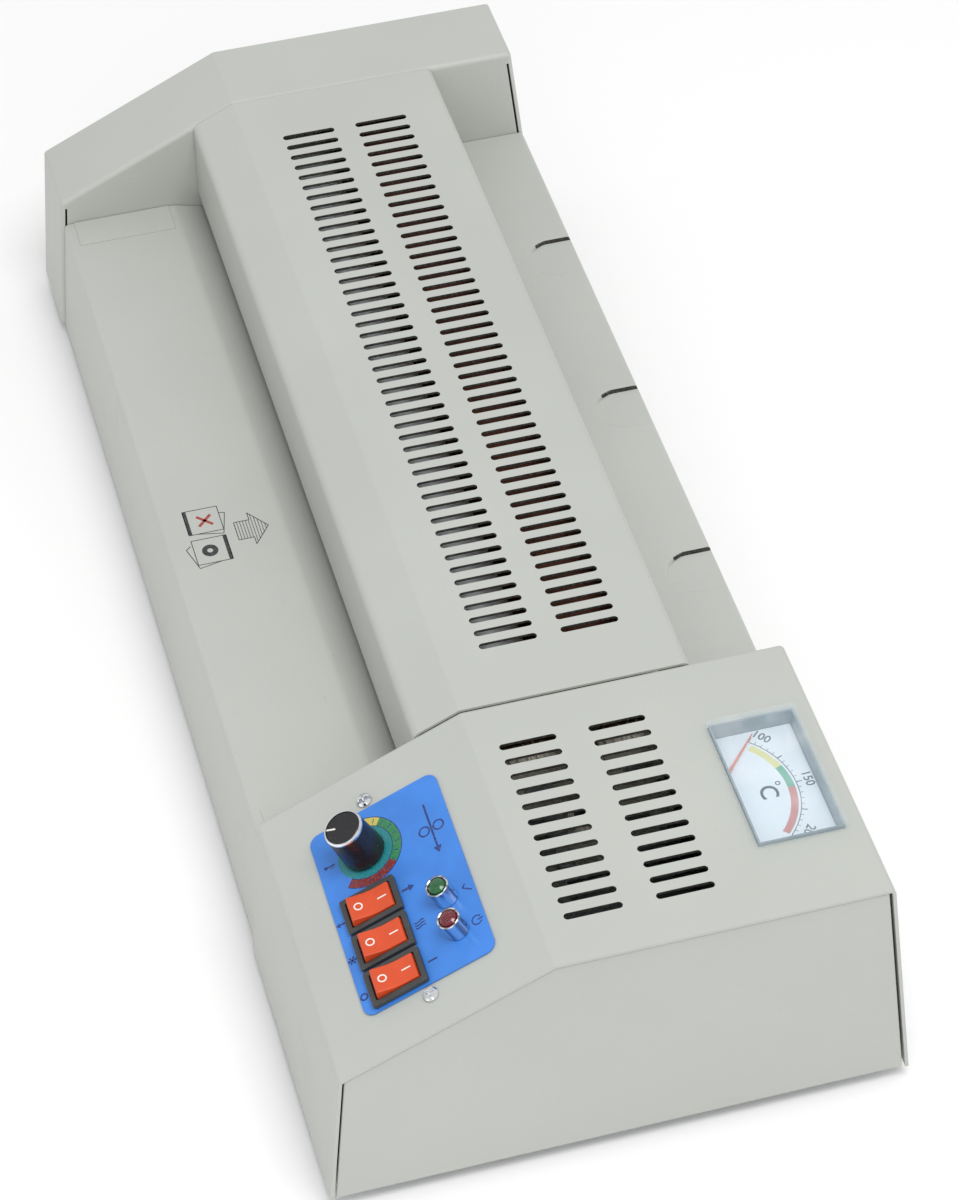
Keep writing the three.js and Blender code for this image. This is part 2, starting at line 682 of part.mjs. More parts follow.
function gear(teeth, phase, y, z, boreR) {
  const r = pitchRadius(teeth);
  const [rootR, tipR] = [r - DEDENDUM * MODULE, r + ADDENDUM * MODULE];
  const step = (2 * Math.PI) / teeth;
  const rootHalf = step * TOOTH_ROOT_SHARE;
  const tipHalf = step * TOOTH_TIP_SHARE;
  const points = [];
  for (let i = 0; i < teeth; i++) {
    const middle = phase + i * step;
    points.push([rootR, middle - rootHalf], [tipR, middle - tipHalf]);
    points.push([tipR, middle + tipHalf], [rootR, middle + rootHalf]);
  }
  const outline = points.map(([radius, a]) => [y + radius * Math.cos(a), z + radius * Math.sin(a)]);
  return cut(alongX(outline, GEAR_X0, GEAR_X1), rodX(boreR, GEAR_X0 - OVERLAP, GEAR_X1 + OVERLAP, y, z));
}

// The phase that puts a gap of the next gear on a tooth of this one.
function meshPhase(from, to) {
  const line = Math.atan2(to.z - from.z, to.y - from.y);
  const along = ((line - from.phase) * from.teeth) / (2 * Math.PI);
  return line + Math.PI - ((0.5 - along) * 2 * Math.PI) / to.teeth;
}

const GEARS = {};
GEARS.hotUpper = { teeth: ROLLER_TEETH, y: HOT_Y, z: UPPER_Z, phase: -Math.PI / 2 };
GEARS.hotLower = { teeth: ROLLER_TEETH, y: HOT_Y, z: LOWER_Z };
GEARS.idler = { teeth: IDLER_TEETH, y: IDLER_Y, z: IDLER_Z };
GEARS.pullLower = { teeth: ROLLER_TEETH, y: PULL_Y, z: LOWER_Z };
GEARS.pullUpper = { teeth: ROLLER_TEETH, y: PULL_Y, z: UPPER_Z };
GEARS.pinion = { teeth: PINION_TEETH, y: PINION_Y, z: PINION_Z };
GEARS.hotLower.phase = meshPhase(GEARS.hotUpper, GEARS.hotLower);
GEARS.idler.phase = meshPhase(GEARS.hotLower, GEARS.idler);
GEARS.pullLower.phase = meshPhase(GEARS.idler, GEARS.pullLower);
GEARS.pullUpper.phase = meshPhase(GEARS.pullLower, GEARS.pullUpper);
GEARS.pinion.phase = meshPhase(GEARS.hotLower, GEARS.pinion);

const gearOf = (g, boreR) => gear(g.teeth, g.phase, g.y, g.z, boreR);

function motorPinion() {
  const shaft = rodX(STUD_R, GEAR_X0, GEARBOX_X + GEARBOX_L / 2, PINION_Y, PINION_Z);
  return joined(gearOf(GEARS.pinion, STUD_R / 2), shaft);
}

// ---- drive and electrics ----
function motorBracket() {
  const [x1, half] = [BRACKET_X + BRACKET_T, PILLAR_OUT + BRACKET_MARGIN];
  const [z0, z1] = [PINION_Z - PILLAR_OUT, PINION_Z + PILLAR_OUT];
  const plate = box(BRACKET_X, x1, PINION_Y - half, PINION_Y + half, z0, z1);
  const corners = [[-1, -1], [-1, 1], [1, -1]];
  const pillarX = [FRAME_X1 + FRAME_T + GAP, BRACKET_X + BRACKET_T / 2];
  const pillars = corners.map(([side, up]) =>
    rodX(PILLAR_R, ...pillarX, PINION_Y + side * PILLAR_OUT, PINION_Z + up * (PILLAR_OUT - PILLAR_R), 12),
  );
  const shaftHole = rodX(STUD_R + RUN_GAP, BRACKET_X - OVERLAP, x1 + OVERLAP, PINION_Y, PINION_Z);
  return cut(joined(plate, ...pillars), shaftHole);
}

function motorGearbox() {
  const body = rodX(MOTOR_R, GEARBOX_X, GEARBOX_X + GEARBOX_L, PINION_Y, PINION_Z, 28);
  const boreEnd = GEARBOX_X + GEARBOX_L / 2 + RUN_GAP;
  return cut(body, rodX(STUD_R + JOURNAL_CLEAR, GEARBOX_X - OVERLAP, boreEnd, PINION_Y, PINION_Z));
}

function motorCan() {
  const x0 = GEARBOX_X + GEARBOX_L + GAP;
  const can = rodX(MOTOR_R - 1, x0, x0 + MOTOR_L, PINION_Y, PINION_Z, 28);
  return joined(can, rodX(MOTOR_BOSS_R, x0 + OVERLAP, x0 + MOTOR_L + MOTOR_BOSS_H, PINION_Y, PINION_Z));
}

// The board on four standoffs, with its transformer, relay, heat sink and capacitors.
function controlBoard() {
  const [x1, y1] = [RIGHT_X - BOARD_IN_X, DEPTH / 2 - BOARD_IN_Y];
  const [x0, y0] = [x1 - BOARD_W, y1 - BOARD_D];
  const z0 = PAN_TOP + BOARD_RISE;
  const z1 = z0 + BOARD_T;
  const standoff = (x, y) => rodZ(STANDOFF_R, STANDOFF_R, x, y, PAN_TOP + GAP, z0 + OVERLAP, 12);
  const corners = [x0 + STANDOFF_IN, x1 - STANDOFF_IN].flatMap((x) =>
    [y0 + STANDOFF_IN, y1 - STANDOFF_IN].map((y) => standoff(x, y)),
  );
  const blocks = BOARD_BLOCKS.map(([x, y, w, d, h]) =>
    box(x0 + x, x0 + x + w, y0 + y, y0 + y + d, z1 - OVERLAP, z1 + h),
  );
  const cans = BOARD_CANS.map(([x, y, r, h]) => rodZ(r, r, x0 + x, y0 + y, z1 - OVERLAP, z1 + h, 16));
  return joined(box(x0, x1, y0, y1, z0, z1), ...corners, ...blocks, ...cans);
}

function terminalBlock() {
  const x0 = RIGHT_X - TERMINAL_IN_X - TERMINAL_WAYS * TERMINAL_PITCH;
  const y0 = frontWallY(BASE_Z) + TERMINAL_IN_Y;
  const z1 = PAN_TOP + GAP + TERMINAL_H;
  const block = box(x0, RIGHT_X - TERMINAL_IN_X, y0, y0 + TERMINAL_D, PAN_TOP + GAP, z1);
  const well = (x, y) => rodZ(TERMINAL_WELL_R, TERMINAL_WELL_R, x, y, z1 - TERMINAL_WELL, z1 + OVERLAP, 10);
  const wells = Array.from({ length: TERMINAL_WAYS }, (_, i) => {
    const x = x0 + (i + 0.5) * TERMINAL_PITCH;
    return [well(x, y0 + TERMINAL_D / 4), well(x, y0 + (3 * TERMINAL_D) / 4)];
  });
  return cut(block, ...wells.flat());
}

// A hexagonal gland in the rear wall, built in the wall's own frame.
function cordGland() {
  const tail = COVER_UNDER - GLAND_TAIL;
  const top = GLAND_NUT_H + GLAND_DOME_H;
  const hexagon = (z0, z1) => rodZ(GLAND_NUT_R, GLAND_NUT_R, GLAND_X, 0, z0, z1, 6);
  const body = joined(
    rodZ(GLAND_R, GLAND_R, GLAND_X, 0, tail, GLAND_NUT_H, 20),
    hexagon(GAP, GLAND_NUT_H),
    rodZ(GLAND_R + 1, GLAND_R - 1, GLAND_X, 0, GLAND_NUT_H - OVERLAP, top, 20),
    hexagon(COVER_UNDER - GLAND_NUT_H, COVER_UNDER),
  );
  return cut(body, rodZ(GLAND_BORE_R, GLAND_BORE_R, GLAND_X, 0, tail - OVERLAP, top + OVERLAP, 16));
}

function foot() {
  const body = rodZ(FOOT_R - FOOT_TAPER, FOOT_R, 0, 0, 0, FOOT_H - GAP, 28);
  return cut(body, rodZ(FOOT_RECESS_R, FOOT_RECESS_R, 0, 0, -OVERLAP, FOOT_H / 2, 16));
}

// ---- control face, in the frame of the slope ----
function housingBlock(x, grow, z0, z1) {
  const halfW = ROCKER_W / 2 + ROCKER_CLEAR + HOUSING_WALL + grow;
  const halfD = ROCKER_R + ROCKER_CLEAR + HOUSING_WALL + grow;
  return box(x - halfW, x + halfW, -ROCKER_DOWN - halfD, -ROCKER_DOWN + halfD, z0, z1);
}

function panelPlate() {
  const outline = roundRect(CONTROL_X, -PANEL_DOWN, PANEL_W, PANEL_D, PANEL_CORNER_R);
  return cut(alongZ(outline, GAP, PANEL_TOP, 4), ...controlHoles());
}

// The bezel, the box below it and its three blades, hollowed for the rocker.
function switchHousing(x) {
  const low = PIVOT_Z - HOUSING_DEPTH - HOUSING_FLOOR;
  const [halfW, halfD] = [BEZEL_W / 2, BEZEL_D / 2];
  const [y0, y1] = [-ROCKER_DOWN - halfD, -ROCKER_DOWN + halfD];
  const flange = box(x - halfW, x + halfW, y0, y1, PANEL_TOP + GAP, BEZEL_TOP);
  const shell = housingBlock(x, 0, low, PANEL_TOP + GAP + OVERLAP);
  const hollow = housingBlock(x, -HOUSING_WALL, PIVOT_Z - HOUSING_DEPTH, BEZEL_TOP + OVERLAP);
  const pinHole = rodX(PIVOT_R + PIVOT_CLEAR, x - halfW, x + halfW, -ROCKER_DOWN, PIVOT_Z, 12);
  const blade = (y) =>
    box(x - BLADE_W / 2, x + BLADE_W / 2, y - BLADE_T / 2, y + BLADE_T / 2, low - BLADE_L, low + OVERLAP);
  const blades = [-1, 0, 1].map((i) => blade(-ROCKER_DOWN + i * BLADE_PITCH));
  return cut(joined(flange, shell, ...blades), hollow, pinHole);
}

// The rocker about its pivot: a shallow V on top and round ends that clear the housing as it tips.
function rocker() {
  const ends = [25, 12, 0, -12, -28].map((deg) => THREE.MathUtils.degToRad(deg));
  const right = ends.map((a) => [ROCKER_R * Math.cos(a), ROCKER_R * Math.sin(a)]);
  const left = ends.map((a) => [-ROCKER_R * Math.cos(a), ROCKER_R * Math.sin(a)]).reverse();
  const tilt = THREE.MathUtils.degToRad(ROCKER_TILT);
  const valley = right[0][1] - right[0][0] * Math.tan(tilt);
  const body = alongX([[0, valley], ...right, ...left], -ROCKER_W / 2, ROCKER_W / 2);
  const reach = ROCKER_W / 2 + ROCKER_CLEAR + HOUSING_WALL / 2;
  return joined(body, rodX(PIVOT_R, -reach, reach, 0, 0, 12));
}

function lampBezel(x) {
  const low = PANEL_TOP + GAP;
  const wellR = LAMP_R - LAMP_WALL;
  const head = rodZ(LAMP_R, LAMP_R, x, -LAMP_DOWN, low, low + LAMP_H, 24);
  const stem = rodZ(LAMP_STEM_R, LAMP_STEM_R, x, -LAMP_DOWN, -LAMP_STEM_L, low + OVERLAP, 16);
  const well = rodZ(wellR, wellR, x, -LAMP_DOWN, low + LAMP_H - LAMP_WELL, low + LAMP_H + OVERLAP, 24);
  return cut(joined(head, stem), well);
}

function lampLens(x) {
  const top = PANEL_TOP + GAP + LAMP_H;
  const r = LAMP_R - LAMP_WALL - GAP;
  return rodZ(r, r - GAP, x, -LAMP_DOWN, top - LAMP_WELL + GAP, top, 24);
}

function potentiometer() {
  const can = rodZ(POT_R, POT_R, KNOB_X, -KNOB_DOWN, COVER_UNDER - POT_H, COVER_UNDER, 24);
  const top = PANEL_TOP + BUSHING_H;
  const bushing = rodZ(BUSHING_R, BUSHING_R, KNOB_X, -KNOB_DOWN, COVER_UNDER - OVERLAP, top, 16);
  const boreR = SHAFT_R + GAP;
  const bore = rodZ(boreR, boreR, KNOB_X, -KNOB_DOWN, COVER_UNDER - SHAFT_IN, top + OVERLAP, 16);
  return cut(joined(can, bushing), bore);
}

function potShaft() {
  const low = COVER_UNDER - SHAFT_IN + GAP;
  return rodZ(SHAFT_R, SHAFT_R, KNOB_X, -KNOB_DOWN, low, KNOB_H - KNOB_CAP_T - GAP, 16);
}

function lathed(points, x, y, segments = 32) {
  const geometry = new THREE.LatheGeometry(points.map(([r, z]) => new THREE.Vector2(r, z)), segments);
  return solid(geometry.rotateX(Math.PI / 2).translate(x, y, 0));
}

// The grip, hollow over the bushing, bored for the shaft and stepped for the bright ring.
function knob() {
  const low = PANEL_TOP + KNOB_LIFT;
  const shoulder = KNOB_H - RING_H - GAP;
  const faceR = KNOB_TOP_R - RING_W - GAP;
  const hollowR = BUSHING_R + RUN_GAP;
  const hollowZ = PANEL_TOP + BUSHING_H + RUN_GAP;
  const boreR = SHAFT_R + GAP;
  const boreZ = KNOB_H - KNOB_CAP_T;
  const profile = [
    [hollowR, low],
    [KNOB_R, low],
    [KNOB_R, low + KNOB_RIM_H],
    [KNOB_TOP_R, shoulder],
    [faceR, shoulder],
    [faceR, KNOB_H],
    [0, KNOB_H],
    [0, boreZ],
    [boreR, boreZ],
    [boreR, hollowZ],
    [hollowR, hollowZ],
    [hollowR, low],
  ];
  const mark = new THREE.BoxGeometry(POINTER_L, POINTER_W, 2 * POINTER_DEPTH);
  mark.translate(faceR - POINTER_L / 2, 0, KNOB_H).rotateZ(THREE.MathUtils.degToRad(KNOB_POINTER));
  return cut(lathed(profile, KNOB_X, -KNOB_DOWN), solid(mark.translate(KNOB_X, -KNOB_DOWN, 0)));
}

function knobRing() {
  const inner = KNOB_TOP_R - RING_W;
  const outer = rodZ(KNOB_TOP_R, KNOB_TOP_R, KNOB_X, -KNOB_DOWN, KNOB_H - RING_H, KNOB_H, 32);
  return cut(outer, rodZ(inner, inner, KNOB_X, -KNOB_DOWN, KNOB_H - 2 * RING_H, KNOB_H + OVERLAP, 32));
}

function panelScrew(x) {
  const top = GAP + SCREW_H;
  const head = rodZ(SCREW_R, SCREW_R * 0.8, x, -SCREW_DOWN, GAP, top, 20);
  const shank = rodZ(SCREW_R / 2, SCREW_R / 2, x, -SCREW_DOWN, -SCREW_L, GAP + OVERLAP, 12);
  const arm = SCREW_R * 0.6;
  const bar = (w, d) =>
    box(x - w, x + w, -SCREW_DOWN - d, -SCREW_DOWN + d, top - CROSS_DEPTH, top + OVERLAP);
  return cut(joined(head, shank), bar(arm, CROSS_W / 2), bar(CROSS_W / 2, arm));
}

// ---- thermometer ----
const METER_LOW = TOP_Z - METER_BODY_H;
const METER_FRONT = METER_PIVOT_Y - METER_PIVOT_MARGIN;
const METER_UNDER = TOP_Z - SHEET - GAP;
const METER_FLANGE_TOP = TOP_Z + GAP + METER_FLANGE_T;
const DIAL_TOP = TOP_Z - METER_DIAL_DEPTH;

// The part above the cover, and the deeper body below it that reaches forward over the movement.
function meterBox(frontY, inset, z0, z1) {
  const halfW = METER_W / 2 - inset;
  return box(CONTROL_X - halfW, CONTROL_X + halfW, frontY + inset, METER_Y + METER_D / 2 - inset, z0, z1);
}

const meterFrame = (inset, z0, z1) => meterBox(METER_Y - METER_D / 2, inset, z0, z1);
const meterBody = (inset, z0, z1) => meterBox(METER_FRONT, inset, z0, z1);

function meterCase() {
  const outside = joined(
    meterBody(METER_WALL, METER_LOW, METER_UNDER),
    meterFrame(METER_WALL, METER_UNDER - OVERLAP, METER_FLANGE_TOP),
    meterFrame(0, TOP_Z + GAP, METER_FLANGE_TOP),
  );
  return cut(
    outside,
    meterBody(2 * METER_WALL, DIAL_TOP - DIAL_T - GAP, METER_UNDER - METER_SHELF_T),
    meterFrame(2 * METER_WALL, METER_UNDER - 2 * METER_SHELF_T, METER_FLANGE_TOP + OVERLAP),
  );
}

function meterDial() {
  const plate = meterBody(2 * METER_WALL + GAP, DIAL_TOP - DIAL_T, DIAL_TOP);
  const [z0, z1] = [DIAL_TOP - 2 * DIAL_T, DIAL_TOP + DIAL_T];
  return cut(plate, rodZ(DIAL_HOLE_R, DIAL_HOLE_R, CONTROL_X, METER_PIVOT_Y, z0, z1, 12));
}

// As long as the case lets it be, to the side wall at its first angle and to the rear wall as it swings.
function meterNeedle() {
  const z = DIAL_TOP + NEEDLE_LIFT;
  const angle = THREE.MathUtils.degToRad(NEEDLE_ANGLE);
  const margin = 2 * METER_WALL + NEEDLE_CLEAR;
  const sideReach = (METER_W / 2 - margin) / Math.abs(Math.cos(angle));
  const rearReach = METER_Y + METER_D / 2 - margin - METER_PIVOT_Y;
  const length = Math.min(sideReach, rearReach);
  const [root, tip] = [NEEDLE_ROOT_W / 2, NEEDLE_TIP_W / 2];
  const pointer = shapeOf([[-NEEDLE_TAIL, -root], [length, -tip], [length, tip], [-NEEDLE_TAIL, root]]);
  const blade = new THREE.ExtrudeGeometry(pointer, { depth: NEEDLE_T, bevelEnabled: false });
  const turned = blade.rotateZ(angle).translate(CONTROL_X, METER_PIVOT_Y, z);
  const [low, high] = [DIAL_TOP - DIAL_T / 2, z + NEEDLE_T + GAP];
  return joined(solid(turned), rodZ(NEEDLE_HUB_R, NEEDLE_HUB_R, CONTROL_X, METER_PIVOT_Y, low, high, 12));
}

function meterWindow() {
  const low = METER_FLANGE_TOP + GAP;
  const high = TOP_Z + METER_RISE;
  return cut(meterFrame(0, low, high), meterFrame(METER_WALL, low - OVERLAP, high - METER_LID_T));
}

// ---- assembly ----
add("base_pan", basePan(), "zinc");
add("feed_table", feedTable(), "enamel");
add("exit_tray", exitTray(), "enamel");
add("top_cover", topCover(), "enamel");
add("control_cover", controlCover(), "enamel");
add("far_cover", endCover(LEFT_X, MID_X0), "enamel");
add("control_end_plate", endPlate(1), "enamel");
add("far_end_plate", endPlate(-1), "enamel");
add("control_side_frame", controlSideFrame(), "zinc");
add("far_side_frame", sideFrame(FRAME_X0 - FRAME_T), "zinc");
for (const [side, x] of [["control", FRAME_X1], ["far", FRAME_X0 - FRAME_T]]) {
  add("hot_bearing_" + side, bearingBlock(x, HOT_Y), "bronze");
  add("pull_bearing_" + side, bearingBlock(x, PULL_Y), "bronze");
}
add("upper_heater_plate", heaterPlate(1), "zinc");
add("lower_heater_plate", heaterPlate(-1), "zinc");

add("hot_upper_roller", steelRoller(HOT_Y, UPPER_Z), "steel");
for (const [name, y, z] of [
  ["hot_lower", HOT_Y, LOWER_Z],
  ["pull_upper", PULL_Y, UPPER_Z],
  ["pull_lower", PULL_Y, LOWER_Z],
]) {
  add(name + "_core", rollerCore(y, z), "steel");
  add(name + "_sleeve", rubberSleeve(y, z), "rubber");
}
add("hot_upper_gear", gearOf(GEARS.hotUpper, JOURNAL_R + GAP), "nylon");
add("hot_lower_gear", gearOf(GEARS.hotLower, JOURNAL_R + GAP), "nylon");
add("pull_upper_gear", gearOf(GEARS.pullUpper, JOURNAL_R + GAP), "nylon");
add("pull_lower_gear", gearOf(GEARS.pullLower, JOURNAL_R + GAP), "nylon");
add("idler_gear", gearOf(GEARS.idler, STUD_R + JOURNAL_CLEAR), "nylon");
add("motor_pinion", motorPinion(), "steel");
add("motor_bracket", motorBracket(), "zinc");
add("motor_gearbox", motorGearbox(), "zinc");
add("motor_can", motorCan(), "steel");
add("control_board", controlBoard(), "board");
add("terminal_block", terminalBlock(), "nylon");
add("cord_gland", cordGland(), "blackPlastic", rearFace);

for (const [name, side, end] of [
  ["front_far", -1, -1],
  ["front_control", -1, 1],
  ["rear_far", 1, -1],
  ["rear_control", 1, 1],
]) {
  const mesh = add("foot_" + name, foot(), "blackRubber");
  mesh.position.set(end * (LENGTH / 2 - FOOT_IN_X), side * (DEPTH / 2 - FOOT_IN_Y), 0);
}

add("panel_plate", panelPlate(), "bluePanel", slopeFace);
["direction", "heat", "power"].forEach((name, i) => {
  add(name + "_switch_housing", switchHousing(ROCKER_XS[i]), "greyPlastic", slopeFace);
  const mesh = add(name + "_rocker", rocker(), "orangePlastic", slopeFace);
  mesh.position.set(ROCKER_XS[i], -ROCKER_DOWN, PIVOT_Z);
  mesh.rotation.x = THREE.MathUtils.degToRad(-ROCKER_TILT);
});
["ready", "power"].forEach((name, i) => {
  add(name + "_lamp_bezel", lampBezel(LAMP_XS[i]), "chrome", slopeFace);
  add(name + "_lamp_lens", lampLens(LAMP_XS[i]), i ? "redLens" : "greenLens", slopeFace);
});
add("potentiometer", potentiometer(), "zinc", slopeFace);
add("pot_shaft", potShaft(), "steel", slopeFace);
add("knob", knob(), "blackPlastic", slopeFace);
add("knob_ring", knobRing(), "chrome", slopeFace);
["left", "right"].forEach((name, i) => {
  add("panel_screw_" + name, panelScrew(SCREW_XS[i]), "chrome", slopeFace);
});

add("meter_case", meterCase(), "blackPlastic");
add("meter_dial", meterDial(), "dial");
add("meter_needle", meterNeedle(), "redLens");
add("meter_window", meterWindow(), "clear");

export default root;
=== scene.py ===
"""A desktop pouch laminator: folded covers, feed table, exit tray, rollers and a sloping control face."""
import json
from math import atan2, ceil, cos, hypot, pi, radians, sin, tan

import bmesh
import bpy
from mathutils import Matrix, Vector


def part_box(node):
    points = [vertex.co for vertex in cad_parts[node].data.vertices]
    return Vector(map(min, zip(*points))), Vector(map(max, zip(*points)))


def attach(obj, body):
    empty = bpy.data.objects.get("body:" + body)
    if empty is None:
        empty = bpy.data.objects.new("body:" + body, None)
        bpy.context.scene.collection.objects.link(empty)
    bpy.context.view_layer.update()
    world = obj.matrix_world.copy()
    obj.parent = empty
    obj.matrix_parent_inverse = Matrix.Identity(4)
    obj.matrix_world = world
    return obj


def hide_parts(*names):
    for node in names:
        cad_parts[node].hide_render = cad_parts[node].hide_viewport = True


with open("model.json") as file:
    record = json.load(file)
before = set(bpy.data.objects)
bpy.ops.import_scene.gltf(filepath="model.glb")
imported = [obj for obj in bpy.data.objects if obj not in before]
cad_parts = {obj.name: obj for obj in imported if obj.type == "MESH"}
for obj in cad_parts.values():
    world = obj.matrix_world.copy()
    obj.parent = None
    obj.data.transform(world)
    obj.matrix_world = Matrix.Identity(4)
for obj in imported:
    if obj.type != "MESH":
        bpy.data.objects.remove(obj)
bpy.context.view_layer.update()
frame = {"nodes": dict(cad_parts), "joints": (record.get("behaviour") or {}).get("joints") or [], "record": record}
MM = 0.001

# ---- the body's outline, from the frame ----
SHEET = 1.2 * MM
GAP = 0.3 * MM
FRONT_LEAN = 5 * MM
REAR_LEAN = 12 * MM
SLOPE_RUN = 74 * MM
SLOPE_DROP = 36 * MM
CAP_LOW, CAP_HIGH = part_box("control_cover")
FAR_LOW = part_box("far_cover")[0]
TOP_LOW, TOP_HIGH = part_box("top_cover")
TABLE_LOW, TABLE_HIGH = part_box("feed_table")
TRAY_LOW, TRAY_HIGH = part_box("exit_tray")
BASE_Z, TOP_Z = CAP_LOW.z, TOP_HIGH.z
MID_X0, MID_X1 = TOP_LOW.x - GAP, TOP_HIGH.x + GAP
FRONT_Y = CAP_LOW.y + FRONT_LEAN
REAR_Y = CAP_HIGH.y - REAR_LEAN
CREASE_Y = FRONT_Y + SLOPE_RUN
SLOPE = atan2(SLOPE_DROP, SLOPE_RUN)
OUTLINE = [
    (CAP_LOW.y, BASE_Z),
    (FRONT_Y, TOP_Z - SLOPE_DROP),
    (CREASE_Y, TOP_Z),
    (REAR_Y, TOP_Z),
    (CAP_HIGH.y, BASE_Z),
]
FOLD_R = 1.9 * MM
SOFT_FOLD_R = 4.5 * MM
INK = 0.04 * MM
WELD = 1e-7
ON_SLOPE = Matrix.Translation((0, CREASE_Y, TOP_Z)) @ Matrix.Rotation(SLOPE, 4, "X")


def front_wall_y(z):
    return FRONT_Y - FRONT_LEAN * (TOP_Z - SLOPE_DROP - z) / (TOP_Z - SLOPE_DROP - BASE_Z)


def rear_wall_y(z):
    return REAR_Y + REAR_LEAN * (TOP_Z - z) / (TOP_Z - BASE_Z)


# ---- node trees ----
class Value:
    """A socket of a node tree that sums, products and masks can be written with."""

    def __init__(self, graph, socket):
        self.graph, self.socket = graph, socket

    def math(self, operation, *values):
        return self.graph.node("ShaderNodeMath", {"operation": operation}, dict(enumerate(values)))

    def __add__(self, other):
        return self.math("ADD", self, other)

    def __radd__(self, other):
        return self.math("ADD", other, self)

    def __sub__(self, other):
        return self.math("SUBTRACT", self, other)

    def __rsub__(self, other):
        return self.math("SUBTRACT", other, self)

    def __mul__(self, other):
        return self.math("MULTIPLY", self, other)

    def __rmul__(self, other):
        return self.math("MULTIPLY", other, self)

    def between(self, low, high):
        """0 below low, 1 above high and a soft step from one to the other."""
        settings = {"interpolation_type": "SMOOTHSTEP"}
        ends = {"From Min": low, "From Max": high}
        return self.graph.node("ShaderNodeMapRange", settings, {"Value": self, **ends})

    def pick(self, colour_a, colour_b):
        """colour_a where this value is 0, colour_b where it is 1."""
        values = {0: self, 6: colour_a, 7: colour_b}
        return self.graph.node("ShaderNodeMix", {"data_type": "RGBA"}, values, out=2)


class Graph:
    """A node tree whose nodes are all made by one method."""

    def __init__(self, tree):
        self.tree = tree

    def node(self, kind, settings=None, values=None, out=0):
        made = self.tree.nodes.new(kind)
        for name, setting in (settings or {}).items():
            setattr(made, name, setting)
        for name, value in (values or {}).items():
            if isinstance(value, Value):
                self.tree.links.new(value.socket, made.inputs[name])
            else:
                made.inputs[name].default_value = value
        return Value(self, made.outputs[out]) if made.outputs else made


class Finish(Graph):
    """A material's tree: a Principled surface with its colour, roughness and relief worked out below it."""

    def __init__(self, name):
        self.material = bpy.data.materials.new(name)
        self.material.use_nodes = True
        super().__init__(self.material.node_tree)
        self.tree.nodes.clear()
        self.place = self.node("ShaderNodeTexCoord", out="Object")

    def stretched(self, x, y, z):
        return self.node("ShaderNodeMapping", None, {"Vector": self.place, "Scale": (x, y, z)})

    def noise(self, size, detail=2.0, place=None):
        """Noise whose blotches are about size metres across."""
        values = {"Vector": place or self.place, "Scale": 1 / size, "Detail": detail}
        return self.node("ShaderNodeTexNoise", None, values)

    def grain(self, size, place=None):
        values = {"Vector": place or self.place, "Scale": 1 / size}
        return self.node("ShaderNodeTexVoronoi", None, values)

    def relief(self, height, depth, strength=1.0):
        values = {"Height": height, "Distance": depth, "Strength": strength}
        return self.node("ShaderNodeBump", None, values)

    def surface(self, colour, roughness, normal=None, **uniform):
        values = {"Base Color": colour, "Roughness": roughness}
        if normal:
            values["Normal"] = normal
        values.update({key.replace("_", " "): value for key, value in uniform.items()})
        shader = self.node("ShaderNodeBsdfPrincipled", None, values)
        self.node("ShaderNodeOutputMaterial", None, {"Surface": shader})
        return self.material


def shade(colour, factor):
    return tuple(channel * factor for channel in colour[:3]) + (1.0,)


# ---- finishes ----
def powder_coat():
    f = Finish("light grey powder coat")
    cloud = f.noise(90 * MM, 3)
    speck = f.noise(1.1 * MM, 2)
    smudge = f.noise(24 * MM, 4).between(0.56, 0.74)
    scuff = f.noise(1.6 * MM, 3, f.stretched(0.12, 1, 1)).between(0.70, 0.76) * smudge
    grey = (0.490, 0.508, 0.474, 1)
    colour = cloud.between(0.3, 0.7).pick(shade(grey, 0.975), shade(grey, 1.02))
    colour = speck.between(0.62, 0.75).pick(colour, shade(grey, 0.955))
    colour = (scuff * 0.35).pick(colour, shade(grey, 0.80))
    roughness = 0.40 + 0.10 * cloud + 0.07 * smudge
    height = f.noise(0.75 * MM, 1) + 0.35 * f.noise(0.22 * MM, 1)
    return f.surface(colour, roughness, f.relief(height, 0.02 * MM, 0.55), Specular_IOR_Level=0.45)


def metal(name, colour, rough, brushed, spots):
    """Metal sheet or bar: brushed gives how much longer its scratches are along X."""
    f = Finish(name)
    scratch = f.noise(0.5 * MM, 3, f.stretched(1 / brushed, 1, 1))
    cloud = f.noise(14 * MM, 4)
    dull = cloud.between(0.45, 0.72)
    tone = scratch.pick(shade(colour, 0.86), shade(colour, 1.08))
    tone = (dull * spots).pick(tone, shade(colour, 0.62))
    roughness = rough + 0.14 * scratch + 0.16 * dull
    return f.surface(tone, roughness, f.relief(scratch, 0.012 * MM, 0.6), Metallic=1.0)


def chrome(name, painted_reflection_strength):
    """Bright plating with painted reflection streaks: the second argument sets how strongly its dark blue grey
    bands, painted reflections of the surroundings, show.
    """
    f = Finish(name)
    haze = f.noise(3 * MM, 3).between(0.5, 0.8)
    painted_reflection_band = f.noise(1.5 * MM, 1, f.stretched(1, 0.06, 0.06)).between(0.42, 0.60)
    pit = f.noise(0.35 * MM, 2)
    bright = haze.pick((0.86, 0.87, 0.90, 1), (0.70, 0.71, 0.74, 1))
    # Painted reflection: dark blue grey streaks along X stand in for the surroundings mirrored in the plating.
    colour = (painted_reflection_band * painted_reflection_strength).pick(bright, (0.30, 0.32, 0.37, 1))
    return f.surface(colour, 0.07 + 0.12 * haze, f.relief(pit, 0.003 * MM, 0.4), Metallic=1.0)


